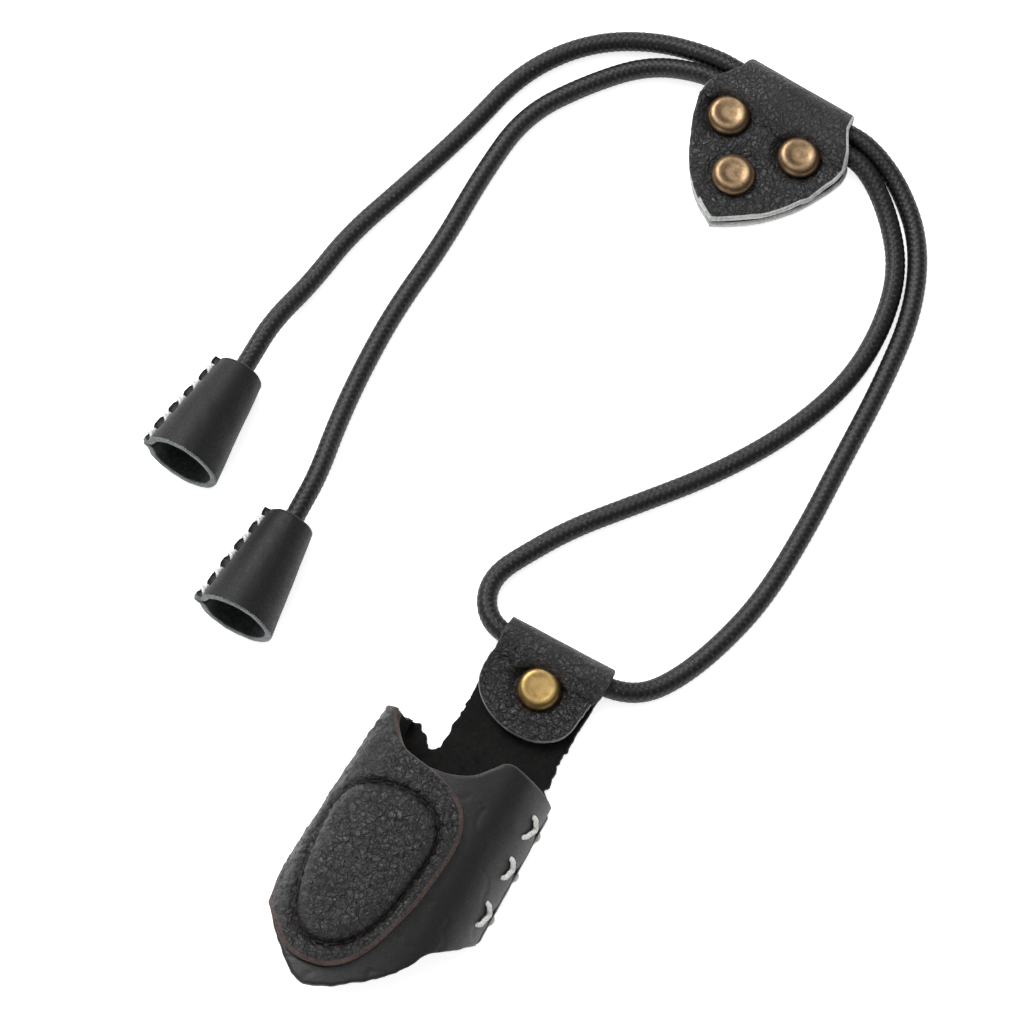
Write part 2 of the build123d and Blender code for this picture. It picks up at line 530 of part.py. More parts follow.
def make_bell(x, y, turn):
    neck, axis, seam, normal = bell_frame(x, y, turn)
    with BuildPart(Plane(origin=neck, x_dir=seam, z_dir=axis)) as cone:
        Cone(BELL_R0, BELL_R1, BELL_L, align=(Align.CENTER, Align.CENTER, Align.MIN))
    side_plane = Plane(origin=neck, x_dir=seam, z_dir=normal * -1)
    flip = 1 if side_plane.y_dir.dot(axis) > 0 else -1
    with BuildPart() as bell:
        add(cone.part)
        with BuildSketch(side_plane):
            with BuildLine():
                Polyline((BELL_R0 - 1.0, 0), (BELL_R0 + BELL_FLANGE, 0),
                         (BELL_R1 + BELL_FLANGE, flip * BELL_L), (BELL_R1 - 1.0, flip * BELL_L), close=True)
            make_face()
        extrude(amount=BELL_LEATHER, both=True)
        with BuildSketch(Plane(origin=neck - axis, x_dir=seam, z_dir=axis)):
            Circle(BELL_R0 - BELL_LEATHER - (BELL_R1 - BELL_R0) / BELL_L)
        with BuildSketch(Plane(origin=neck + axis * (BELL_L + 1), x_dir=seam, z_dir=axis)):
            Circle(BELL_R1 - BELL_LEATHER + (BELL_R1 - BELL_R0) / BELL_L)
        loft(mode=Mode.SUBTRACT)
        with BuildSketch(side_plane):
            with BuildLine():
                Polyline((0.5, -1 * flip), (14.0, -1 * flip), (14.0, flip * (BELL_L + 1)),
                         (0.5, flip * (BELL_L + 1)), close=True)
            make_face()
        extrude(amount=0.05, both=True, mode=Mode.SUBTRACT)
        for t in BELL_STITCHES:
            r = BELL_R0 + (BELL_R1 - BELL_R0) * t / BELL_L
            with BuildSketch(Plane(origin=neck + axis * t + seam * (r + 0.56) - normal * 3, x_dir=axis, z_dir=normal)):
                Circle(STITCH_R + 0.06)
            extrude(amount=6, mode=Mode.SUBTRACT)
    loops = []
    for t in BELL_STITCHES:
        r = BELL_R0 + (BELL_R1 - BELL_R0) * t / BELL_L
        o, w = neck + axis * t, BELL_LEATHER + 0.48
        corners = [o + seam * (r + 0.56) + normal * w, o + seam * (r + BELL_FLANGE + 0.52) + normal * w,
                   o + seam * (r + BELL_FLANGE + 0.52) - normal * w, o + seam * (r + 0.56) - normal * w]
        with BuildPart() as loop:
            with BuildLine() as loop_line:
                FilletPolyline(*corners, radius=0.45, close=True)
            with BuildSketch(Plane(origin=loop_line.line @ 0, z_dir=loop_line.line % 0)):
                Circle(STITCH_R)
            sweep(path=loop_line.line)
        loops.append(loop.part)
    with BuildPart() as stitching:
        for item in loops:
            add(item)
    return bell.part, stitching.part


LEFT_BELL = (-77.9, 66.3, 0.0)
RIGHT_BELL = (-54.87, 45.4, 2.0)
left_leather, left_thread = make_bell(*LEFT_BELL)
with BuildPart() as bell_left_leather:
    add(left_leather)
bell_left_leather.part.label = "bell_left_leather"
export_step(bell_left_leather.part, "parts/bell_left_leather.step")
with BuildPart() as bell_left_stitching:
    add(left_thread)
bell_left_stitching.part.label = "bell_left_stitching"
export_step(bell_left_stitching.part, "parts/bell_left_stitching.step")
right_leather, right_thread = make_bell(*RIGHT_BELL)
with BuildPart() as bell_right_leather:
    add(right_leather)
bell_right_leather.part.label = "bell_right_leather"
export_step(bell_right_leather.part, "parts/bell_right_leather.step")
with BuildPart() as bell_right_stitching:
    add(right_thread)
bell_right_stitching.part.label = "bell_right_stitching"
export_step(bell_right_stitching.part, "parts/bell_right_stitching.step")

# ------------------------------------------------------------ cord and its knots
radii = corner_radii(ROUTE)
print("cord corner radii:", [round(r, 1) for r in radii])
with BuildPart() as cord:
    with BuildLine() as cord_line:
        FilletPolyline(*ROUTE, radius=radii)
    with BuildSketch(Plane(origin=cord_line.line @ 0, z_dir=cord_line.line % 0)):
        Circle(CORD_D / 2)
    sweep(path=cord_line.line)
cord_length = sum(edge.length for edge in cord_line.edges())
print("cord length", round(cord_length, 1), "volume", round(cord.part.volume, 1),
      "section x length", round(math.pi * CORD_D ** 2 / 4 * cord_length, 1))
cord.part.label = "cord"
export_step(cord.part, "parts/cord.step")


KNOT_LIFT = 0.75         # the knot sits a little above the cord's line, clear of the bell's wall


def stopper_knot(end, heading):
    """rounded knot behind the cord's end face, with the short cut tail beyond it"""
    d = Vector(heading[0], heading[1], 0).normalized()
    with BuildPart() as knot:
        with BuildSketch(Plane(origin=Vector(*end) + Vector(0, 0, KNOT_LIFT), x_dir=d, z_dir=d.cross(Vector(0, 0, 1)))):
            with BuildLine():
                Spline((0.06, 2.5), (1.1, 3.2), (2.9, 3.45), (4.7, 2.9), (5.7, 1.5), (5.9, 0))
                Polyline((5.9, 0), (0.06, 0), (0.06, 2.5))
            make_face()
        revolve(axis=Axis(Vector(*end) + Vector(0, 0, KNOT_LIFT), d))
        with BuildSketch(Plane(origin=Vector(*end) + d * 4.6 + Vector(0, 0, 0.2), z_dir=d)):
            Circle(CORD_D / 2 - 0.1)
        extrude(amount=3.0)
    return knot.part


with BuildPart() as cord_knot_left:
    add(stopper_knot(ROUTE[0], tuple(Vector(*ROUTE[0]) - Vector(*ROUTE[1]))))
cord_knot_left.part.label = "cord_knot_left"
export_step(cord_knot_left.part, "parts/cord_knot_left.step")
with BuildPart() as cord_knot_right:
    add(stopper_knot(ROUTE[-1], tuple(Vector(*ROUTE[-1]) - Vector(*ROUTE[-2]))))
cord_knot_right.part.label = "cord_knot_right"
export_step(cord_knot_right.part, "parts/cord_knot_right.step")
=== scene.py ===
import bpy, bmesh, math
import numpy as np
from mathutils import Vector, Matrix
from mathutils.geometry import delaunay_2d_cdt


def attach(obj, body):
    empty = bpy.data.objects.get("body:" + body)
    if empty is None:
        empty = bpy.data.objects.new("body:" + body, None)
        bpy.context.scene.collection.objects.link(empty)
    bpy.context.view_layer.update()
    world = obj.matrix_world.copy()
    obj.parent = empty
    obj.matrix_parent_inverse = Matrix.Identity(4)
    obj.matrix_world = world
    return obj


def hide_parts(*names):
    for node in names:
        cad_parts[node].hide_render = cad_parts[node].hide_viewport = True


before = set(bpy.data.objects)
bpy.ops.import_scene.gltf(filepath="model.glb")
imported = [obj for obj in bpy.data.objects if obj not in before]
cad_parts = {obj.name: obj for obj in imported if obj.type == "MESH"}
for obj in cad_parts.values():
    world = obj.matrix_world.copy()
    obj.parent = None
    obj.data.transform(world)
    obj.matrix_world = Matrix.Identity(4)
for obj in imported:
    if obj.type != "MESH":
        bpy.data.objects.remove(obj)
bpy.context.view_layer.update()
scene = bpy.context.scene
MM = 0.001

# ---------------------------------------------------------------- camera
cam_data = bpy.data.cameras.new("camera")
cam = bpy.data.objects.new("camera", cam_data)
scene.collection.objects.link(cam)
cam_data.lens, cam_data.sensor_width = 100.0, 36.0
cam_data.clip_start, cam_data.clip_end = 0.05, 20.0
eye, target = Vector((0.05205, -0.0643, 0.5098)), Vector((-0.0207, 0.068, 0.0))
back = (eye - target).normalized()
up_hint = Vector((-0.4818, 0.8763, 0.0))
right = up_hint.cross(back).normalized()
up = back.cross(right)
cam.matrix_world = Matrix(((right.x, up.x, back.x, eye.x), (right.y, up.y, back.y, eye.y),
                           (right.z, up.z, back.z, eye.z), (0, 0, 0, 1)))
scene.camera = cam

# ---------------------------------------------------------------- cord route (millimetres here, metres in the curve)
ROUTE = [
    (-77.9, 61.4, 4.4), (-77.85, 69.5, 4.43), (-77.9, 78.0, 4.4), (-75.8, 88.8, 2.6),
    (-74.5, 101.1, 1.95), (-70.0, 115.0, 1.95), (-65.2, 130.9, 1.95), (-61.95, 146.6, 1.95),
    (-53.8, 158.4, 1.95), (-42.5, 165.2, 2.1), (-30.3, 167.03, 3.6), (-23.3, 166.59, 3.62),
    (-11.82, 165.87, 3.6), (-1.85, 165.23, 3.62), (5.14, 164.79, 3.6), (14.05, 160.4, 2.3), (22.25, 151.95, 1.95), (27.35, 138.95, 1.95),
    (28.7, 123.0, 1.95), (28.8, 106.0, 1.95), (29.1, 90.0, 1.95), (28.25, 74.95, 1.95),
    (25.4, 63.6, 1.95), (21.8, 54.7, 1.95), (17.6, 48.6, 2.6), (11.9, 46.0, 3.6),
    (4.2, 46.0, 3.63), (-3.6, 46.0, 3.6), (-11.3, 46.0, 3.62), (-15.0, 48.1, 3.05),
    (-17.1, 51.9, 2.4), (-17.0, 56.3, 1.95), (-14.6, 61.0, 1.95), (-9.25, 69.95, 1.95),
    (-0.9, 79.9, 1.95), (9.15, 92.05, 1.95), (17.6, 105.65, 1.95), (22.95, 120.1, 1.95),
    (23.65, 133.25, 1.95), (21.0, 145.3, 1.95), (14.15, 154.6, 2.2), (5.89, 160.83, 3.6),
    (-1.1, 161.27, 3.62), (-12.07, 161.96, 3.6), (-23.54, 162.68, 3.62), (-30.53, 163.12, 3.6), (-40.8, 160.0, 2.2), (-49.15, 151.2, 1.95),
    (-57.0, 139.2, 1.95), (-58.2, 124.2, 1.95), (-57.95, 108.0, 1.95), (-59.25, 92.05, 1.95),
    (-58.75, 78.0, 1.95), (-57.4, 66.4, 2.5), (-55.2, 56.0, 4.4), (-54.95, 48.4, 4.43),
    (-54.7, 40.7, 4.4),
]
CORD_D = 3.8


def nurbs_points(points, resolution):
    """points along the NURBS spline that has these control points, read back from Blender"""
    curve = bpy.data.curves.new("route", "CURVE")
    curve.dimensions = "3D"
    curve.resolution_u = resolution
    spline = curve.splines.new("NURBS")
    spline.points.add(len(points) - 1)
    for p, q in zip(spline.points, points):
        p.co = (q[0] * MM, q[1] * MM, q[2] * MM, 1)
    spline.order_u = 3
    spline.use_endpoint_u = True
    holder = bpy.data.objects.new("route", curve)
    scene.collection.objects.link(holder)
    bpy.context.view_layer.update()
    mesh = bpy.data.meshes.new_from_object(holder.evaluated_get(bpy.context.evaluated_depsgraph_get()))
    out = np.array([v.co for v in mesh.vertices], float) / MM
    bpy.data.meshes.remove(mesh)
    bpy.data.objects.remove(holder)
    bpy.data.curves.remove(curve)
    return out


def resample(path, step):
    """points an even step apart along a line of points"""
    seg = np.linalg.norm(np.diff(path, axis=0), axis=1)
    keep = np.r_[True, seg > 1e-9]
    path = path[keep]
    s = np.r_[0, np.cumsum(np.linalg.norm(np.diff(path, axis=0), axis=1))]
    n = max(2, int(round(s[-1] / step)) + 1)
    t = np.linspace(0, s[-1], n)
    return np.stack([np.interp(t, s, path[:, k]) for k in range(3)], 1), t


# ---------------------------------------------------------------- noise, all seeded by position
def hash3(ix, iy, iz, seed):
    h = (ix.astype(np.int64) * 374761393 + iy.astype(np.int64) * 668265263 + iz.astype(np.int64) * 2147483647 + seed * 1274126177) & 0xFFFFFFFF
    h = ((h ^ (h >> 13)) * 1274126177) & 0xFFFFFFFF
    h = ((h ^ (h >> 16)) * 2246822519) & 0xFFFFFFFF
    return ((h ^ (h >> 15)) & 0xFFFFFF) / float(0xFFFFFF)


def vnoise(p, size, seed=0):
    """smooth noise from -1 to 1 with features about size mm"""
    q = np.asarray(p, float) / size
    i = np.floor(q)
    f = q - i
    f = f * f * f * (f * (f * 6 - 15) + 10)
    i = i.astype(np.int64)
    out = np.zeros(len(q))
    for dx in (0, 1):
        for dy in (0, 1):
            for dz in (0, 1):
                w = (f[:, 0] if dx else 1 - f[:, 0]) * (f[:, 1] if dy else 1 - f[:, 1]) * (f[:, 2] if dz else 1 - f[:, 2])
                out += w * hash3(i[:, 0] + dx, i[:, 1] + dy, i[:, 2] + dz, seed)
    return out * 2 - 1


def fbm(p, size, octaves=3, seed=0):
    out, amp, total = 0.0, 1.0, 0.0
    for k in range(octaves):
        out = out + amp * vnoise(p, size / 2 ** k, seed + 17 * k)
        total += amp
        amp *= 0.55
    return out / total


def cells(p, size, seed=0):
    """Voronoi cells about size mm: distance between the nearest two points, and the nearest one's distance"""
    q = np.asarray(p, float) / size
    i = np.floor(q).astype(np.int64)
    f1 = np.full(len(q), 9.0)
    f2 = np.full(len(q), 9.0)
    for dx in (-1, 0, 1):
        for dy in (-1, 0, 1):
            for dz in (-1, 0, 1):
                j = i + np.array([dx, dy, dz])
                pt = np.stack([j[:, k] + hash3(j[:, 0], j[:, 1], j[:, 2], seed + 101 * k) for k in range(3)], 1)
                d = np.linalg.norm(pt - q, axis=1)
                nearer = d < f1
                f2 = np.where(nearer, f1, np.minimum(f2, d))
                f1 = np.where(nearer, d, f1)
    return f2 - f1, f1


def ramp(x, lo, hi):
    t = np.clip((x - lo) / (hi - lo), 0, 1)
    return t * t * (3 - 2 * t)


def flat3(a, b):
    return np.stack([a, b, np.zeros_like(a)], 1)


# ---------------------------------------------------------------- meshes
def make_object(name, verts, faces, mats, face_mats=None, uvs=None, smooth=True):
    mesh = bpy.data.meshes.new(name)
    mesh.from_pydata([tuple(v * MM) for v in np.asarray(verts, float)], [], [tuple(int(i) for i in f) for f in faces])
    mesh.validate()
    for m in mats:
        mesh.materials.append(m)
    if face_mats is not None and len(face_mats) == len(mesh.polygons):
        mesh.polygons.foreach_set("material_index", np.asarray(face_mats, np.int32))
    mesh.polygons.foreach_set("use_smooth", np.full(len(mesh.polygons), smooth))
    if uvs is not None:
        layer = mesh.uv_layers.new(name="UVMap")
        loop_verts = np.zeros(len(mesh.loops), np.int64)
        mesh.loops.foreach_get("vertex_index", loop_verts)
        layer.data.foreach_set("uv", np.asarray(uvs, np.float32)[loop_verts].ravel())
    bm = bmesh.new()
    bm.from_mesh(mesh)
    bmesh.ops.recalc_face_normals(bm, faces=bm.faces)
    bm.to_mesh(mesh)
    bm.free()
    mesh.update()
    obj = bpy.data.objects.new(name, mesh)
    scene.collection.objects.link(obj)
    return obj


def joined(parts):
    """several (verts, faces, face_mats) as one"""
    verts, faces, mats, n = [], [], [], 0
    for v, f, m in parts:
        verts.append(np.asarray(v, float))
        faces += [tuple(i + n for i in face) for face in f]
        mats += list(m) if hasattr(m, "__len__") else [m] * len(f)
        n += len(v)
    return np.concatenate(verts), faces, mats


def frames_along(path):
    """tangent and two side directions, carried along without twist"""
    t = np.gradient(path, axis=0)
    t /= np.linalg.norm(t, axis=1)[:, None]
    a = np.array([0, 0, 1.0])
    if abs(t[0] @ a) > 0.9:
        a = np.array([1.0, 0, 0])
    n = np.zeros_like(path)
    u = np.cross(np.cross(t[0], a), t[0])
    n[0] = u / np.linalg.norm(u)
    for i in range(1, len(path)):
        v = n[i - 1] - t[i] * (t[i] @ n[i - 1])
        n[i] = v / np.linalg.norm(v)
    return t, n, np.cross(t, n)


def tube(path, radius, around, closed=False, height=None, mat=0, round_ends=True):
    """a tube on a line of points; height(theta, s) adds to the radius"""
    t, n, b = frames_along(path)
    m = len(path)
    s = np.r_[0, np.cumsum(np.linalg.norm(np.diff(path, axis=0), axis=1))]
    r = np.full(m, float(radius)) if np.isscalar(radius) else np.asarray(radius, float)
    th = np.linspace(0, 2 * math.pi, around, endpoint=False)
    if closed:
        # turn the frames so that the last meets the first
        twist = math.atan2(n[-1] @ b[0], n[-1] @ n[0])
    else:
        twist = 0.0
    TH = th[None, :] + np.linspace(0, 1, m)[:, None] * twist * (1 if closed else 0)
    R = r[:, None] + (height(np.broadcast_to(th[None, :], (m, around)), np.broadcast_to(s[:, None], (m, around))) if height else 0)
    P = path[:, None, :] + R[..., None] * (np.cos(TH)[..., None] * n[:, None, :] + np.sin(TH)[..., None] * b[:, None, :])
    verts = P.reshape(-1, 3)
    faces = []
    rings = m if closed else m - 1
    for i in range(rings):
        j = (i + 1) % m
        for k in range(around):
            l = (k + 1) % around
            faces.append((i * around + k, i * around + l, j * around + l, j * around + k))
    if not closed:
        extra = []
        base = len(verts)
        if round_ends:
            for end, sign in ((0, -1), (m - 1, 1)):
                ring0 = end * around
                last = ring0
                for f in (0.5, 0.85):
                    z, q = math.sin(f * math.pi / 2), math.cos(f * math.pi / 2)
                    ring = path[end] + t[end] * sign * r[end] * z * 0.7 + (verts[ring0:ring0 + around] - path[end]) * q
                    start = base + sum(len(e) for e in extra)
                    extra.append(ring)
                    for k in range(around):
                        l = (k + 1) % around
                        faces.append((last + k, last + l, start + l, start + k))
                    last = start
                tip = base + sum(len(e) for e in extra)
                extra.append((path[end] + t[end] * sign * r[end] * 0.7)[None, :])
                for k in range(around):
                    faces.append((last + k, last + (k + 1) % around, tip))
        else:
            faces.append(tuple(range(around - 1, -1, -1)))
            faces.append(tuple((m - 1) * around + k for k in range(around)))
        if extra:
            verts = np.concatenate([verts] + extra)
    return verts, faces, [mat] * len(faces), (TH, s)


def poly_distance(p, poly):
    """distance of points to a closed outline"""
    out = np.full(len(p), 1e9)
    a, b = poly, np.roll(poly, -1, axis=0)
    for i in range(0, len(p), 4000):
        q = p[i:i + 4000]
        d = b - a
        ll = (d * d).sum(1) + 1e-12
        w = ((q[:, None, :] - a[None]) * d[None]).sum(2) / ll[None]
        w = np.clip(w, 0, 1)
        near = a[None] + w[..., None] * d[None]
        out[i:i + 4000] = np.sqrt(((q[:, None, :] - near) ** 2).sum(2)).min(1)
    return out


def inside(p, poly):
    x, y = p[:, 0][:, None], p[:, 1][:, None]
    a, b = poly, np.roll(poly, -1, axis=0)
    cond = (a[None, :, 1] > y) != (b[None, :, 1] > y)
    xi = a[None, :, 0] + (y - a[None, :, 1]) / (b[None, :, 1] - a[None, :, 1] + 1e-15) * (b[None, :, 0] - a[None, :, 0])
    return (cond & (x < xi)).sum(1) % 2 == 1


def dense(points, step, closed=True):
    p = np.asarray(points, float)
    q = np.concatenate([p, p[:1]]) if closed else p
    out = []
    for a, b in zip(q[:-1], q[1:]):
        n = max(1, int(math.ceil(np.linalg.norm(b - a) / step)))
        for k in range(n):
            out.append(a + (b - a) * k / n)
    if not closed:
        out.append(q[-1])
    return np.array(out)


def smooth_line(points, step=0.4, closed=False):
    """Catmull-Rom line through points"""
    p = np.asarray(points, float)
    n = len(p)
    idx = range(n if closed else n - 1)
    out = []
    for i in idx:
        p0 = p[(i - 1) % n] if closed or i > 0 else 2 * p[0] - p[1]
        p1, p2 = p[i], p[(i + 1) % n]
        p3 = p[(i + 2) % n] if closed or i + 2 < n else 2 * p[-1] - p[-2]
        m = max(2, int(np.linalg.norm(p2 - p1) / step))
        for k in range(m):
            t = k / m
            out.append(0.5 * ((2 * p1) + (-p0 + p2) * t + (2 * p0 - 5 * p1 + 4 * p2 - p3) * t * t + (-p0 + 3 * p1 - 3 * p2 + p3) * t ** 3))
    if not closed:
        out.append(p[-1])
    return np.array(out)


def sheet_mesh(outline, mapping, thickness, spacing, coarse=None, rim=0.35, depth=None, front=None, rear=None,
               wall_rough=0.05, mat_rule=None, seed=1, edge_in=0.22):
    """A piece of leather with thickness: outline in its flat cut, mapping(a, b) -> mid point and outer normal.
    front/rear(a, b, edge distance, point) add height to each side. coarse(a, b) True where a third of the points will do.
    mat_rule(kind, a, b) gives the material of a face: kind is front, rear or wall."""
    outline = np.asarray(outline, float)
    area = 0.5 * np.sum(outline[:, 0] * np.roll(outline[:, 1], -1) - outline[:, 1] * np.roll(outline[:, 0], -1))
    if area < 0:
        outline = outline[::-1]
    d = np.roll(outline, -1, axis=0) - np.roll(outline, 1, axis=0)
    d /= np.linalg.norm(d, axis=1)[:, None] + 1e-12
    inward = np.stack([-d[:, 1], d[:, 0]], 1)
    pts = [outline]
    for k, inset in enumerate((rim * 0.12, rim * 0.4, rim, rim + spacing * 0.8)):
        ring = outline + inward * inset
        if k == 3:
            ring = ring[::2]
        ok = poly_distance(ring, outline) > inset * 0.93
        ok &= inside(ring, outline)
        pts.append(ring[ok])
    lo, hi = outline.min(0), outline.max(0)
    rows = []
    y, j = lo[1], 0
    while y < hi[1]:
        x = np.arange(lo[0] + (spacing / 2 if j % 2 else 0), hi[0], spacing)
        i = np.arange(len(x))
        row = np.stack([x, np.full_like(x, y)], 1)
        if coarse is not None:
            c = coarse(row[:, 0], row[:, 1])
            row = row[~c | ((i % 3 == (j // 3) % 3) & (j % 3 == 0))]
        rows.append(row)
        y += spacing * 0.866
        j += 1
    grid = np.concatenate(rows)
    rng = np.random.RandomState(seed)
    grid = grid + (rng.rand(*grid.shape) - 0.5) * spacing * 0.22
    keep = inside(grid, outline)
    grid = grid[keep]
    grid = grid[poly_distance(grid, outline) > rim + spacing * 1.25]
    pts.append(grid)
    allp = np.concatenate(pts)
    n_out = len(outline)
    co, _, tris, _, _, _ = delaunay_2d_cdt([Vector(p) for p in allp], [(i, (i + 1) % n_out) for i in range(n_out)], [], 1, 1e-7)
    co = np.array([tuple(c) for c in co], float)
    tris = np.array([tuple(t) for t in tris if len(t) == 3], np.int64)
    used = np.zeros(len(co), bool)
    used[tris.ravel()] = True
    remap = -np.ones(len(co), np.int64)
    remap[used] = np.arange(used.sum())
    co, tris = co[used], remap[tris]
    A, B = co[:, 0], co[:, 1]
    D = poly_distance(co, outline)
    D[D < 1e-6] = 0
    P, N = mapping(A, B)
    half = thickness / 2
    q = np.clip(1 - D / rim, 0, 1)
    off = half - (rim if depth is None else depth) * (1 - np.sqrt(np.clip(1 - q * q, 0, 1)))
    f = off + (front(A, B, D, P) if front is not None else 0)
    r = off + (rear(A, B, D, P) if rear is not None else 0)
    F = P + N * np.asarray(f)[:, None]
    R = P - N * np.asarray(r)[:, None]
    n = len(co)
    # outline edges are those with one triangle
    edges = {}
    for t in tris:
        for a, b in ((t[0], t[1]), (t[1], t[2]), (t[2], t[0])):
            k = (a, b) if a < b else (b, a)
            edges[k] = None if k in edges else (a, b)
    border = [e for e in edges.values() if e is not None]
    verts = [F, R]
    faces = [tuple(t) for t in tris] + [(t[0] + n, t[2] + n, t[1] + n) for t in tris]
    centre = co[tris].mean(1)
    mats = []
    rule = mat_rule or (lambda kind, a, b: np.zeros(len(a), int))
    near = D[tris].mean(1) < (edge_in(centre[:, 0], centre[:, 1]) if callable(edge_in) else edge_in)
    for kind in ("front", "rear"):
        mk = np.asarray(rule(kind, centre[:, 0], centre[:, 1]))
        mats += list(np.where(near, np.asarray(rule("wall", centre[:, 0], centre[:, 1])), mk))
    ids = sorted({v for e in border for v in e})
    where = {v: i for i, v in enumerate(ids)}
    ids = np.array(ids)
    # wall rings between the two faces, a little rough
    out_dir = np.zeros((len(ids), 3))
    eps = 0.02
    for a, b in border:
        e = F[b] - F[a]
        o = np.cross(e, N[a])
        out_dir[where[a]] += o
        out_dir[where[b]] += o
    out_dir /= np.linalg.norm(out_dir, axis=1)[:, None] + 1e-12
    levels = 4
    start = 2 * n
    for k in range(1, levels):
        w = k / levels
        ring = F[ids] * (1 - w) + R[ids] * w
        bulge = wall_rough * (fbm(ring, 0.7, 3, seed + 5) + 0.25 * math.sin(w * math.pi))
        ring = ring + out_dir * bulge[:, None]
        verts.append(ring)
    m = len(ids)

    def level(v, k):
        if k == 0:
            return v
        if k == levels:
            return v + n
        return start + (k - 1) * m + where[v]
    wall_a, wall_b = [], []
    for a, b in border:
        for k in range(levels):
            faces.append((level(b, k), level(a, k), level(a, k + 1), level(b, k + 1)))
            wall_a.append((co[a, 0] + co[b, 0]) / 2)
            wall_b.append((co[a, 1] + co[b, 1]) / 2)
    mats += list(rule("wall", np.array(wall_a), np.array(wall_b)))
    return np.concatenate(verts), faces, mats


# ---------------------------------------------------------------- materials
class Net:
    """a small writer of shader nodes"""

    def __init__(self, name, base, rough, **sockets):
        self.mat = bpy.data.materials.new(name)
        self.mat.use_nodes = True
        self.nt = self.mat.node_tree
        self.bsdf = self.nt.nodes["Principled BSDF"]
        self.bsdf.inputs["Base Color"].default_value = (*base, 1)
        self.bsdf.inputs["Roughness"].default_value = rough
        for k, v in sockets.items():
            self.bsdf.inputs[k.replace("_", " ")].default_value = v
        self.coord = self.nt.nodes.new("ShaderNodeTexCoord")

    def node(self, kind, **values):
        n = self.nt.nodes.new(kind)
        for k, v in values.items():
            setattr(n, k, v)
        return n

    def link(self, a, b):
        self.nt.links.new(a, b)

    def stretched(self, scale, uv=False):
        m = self.node("ShaderNodeMapping")
        m.inputs["Scale"].default_value = scale
        self.link(self.coord.outputs["UV" if uv else "Object"], m.inputs["Vector"])
        return m.outputs["Vector"]

    def noise(self, size_mm, detail=4, rough=0.55, vector=None, distortion=0.0):
        n = self.node("ShaderNodeTexNoise")
        n.inputs["Scale"].default_value = 1000.0 / size_mm if vector is None else 1.0
        n.inputs["Detail"].default_value = detail
        n.inputs["Roughness"].default_value = rough
        n.inputs["Distortion"].default_value = distortion
        self.link(vector or self.coord.outputs["Object"], n.inputs["Vector"])
        return n.outputs["Fac"]

    def voronoi(self, size_mm, feature="DISTANCE_TO_EDGE", vector=None, randomness=1.0):
        n = self.node("ShaderNodeTexVoronoi", feature=feature)
        n.inputs["Scale"].default_value = 1000.0 / size_mm if vector is None else 1.0
        n.inputs["Randomness"].default_value = randomness
        self.link(vector or self.coord.outputs["Object"], n.inputs["Vector"])
        return n.outputs["Distance"]

    def ramp(self, fac, stops):
        n = self.node("ShaderNodeValToRGB")
        while len(n.color_ramp.elements) < len(stops):
            n.color_ramp.elements.new(0.5)
        for e, (pos, col) in zip(n.color_ramp.elements, stops):
            e.position = pos
            e.color = (*col, 1) if hasattr(col, "__len__") else (col, col, col, 1)
        self.link(fac, n.inputs["Fac"])
        return n.outputs["Color"]

    def math(self, op, a, b):
        n = self.node("ShaderNodeMath", operation=op)
        for s, v in zip(n.inputs, (a, b)):
            if isinstance(v, (int, float)):
                s.default_value = v
            else:
                self.link(v, s)
        return n.outputs[0]

    def mix(self, fac, a, b, blend="MIX"):
        n = self.node("ShaderNodeMix", data_type="RGBA", blend_type=blend)
        for s, v in zip((n.inputs[0], n.inputs[6], n.inputs[7]), (fac, a, b)):
            if isinstance(v, (int, float)):
                s.default_value = v
            elif isinstance(v, tuple):
                s.default_value = (*v, 1)
            else:
                self.link(v, s)
        return n.outputs[2]

    def attribute(self, name):
        n = self.node("ShaderNodeAttribute", attribute_name=name)
        return n.outputs["Fac"]

    def bump(self, height, distance_mm, strength=1.0, under=None):
        n = self.node("ShaderNodeBump")
        n.inputs["Distance"].default_value = distance_mm * MM
        n.inputs["Strength"].default_value = strength
        self.link(height, n.inputs["Height"])
        if under is not None:
            self.link(under, n.inputs["Normal"])
        self.link(n.outputs["Normal"], self.bsdf.inputs["Normal"])
        return n.outputs["Normal"]

    def base(self, colour):
        self.link(colour, self.bsdf.inputs["Base Color"])

    def roughness(self, value):
        self.link(value, self.bsdf.inputs["Roughness"])


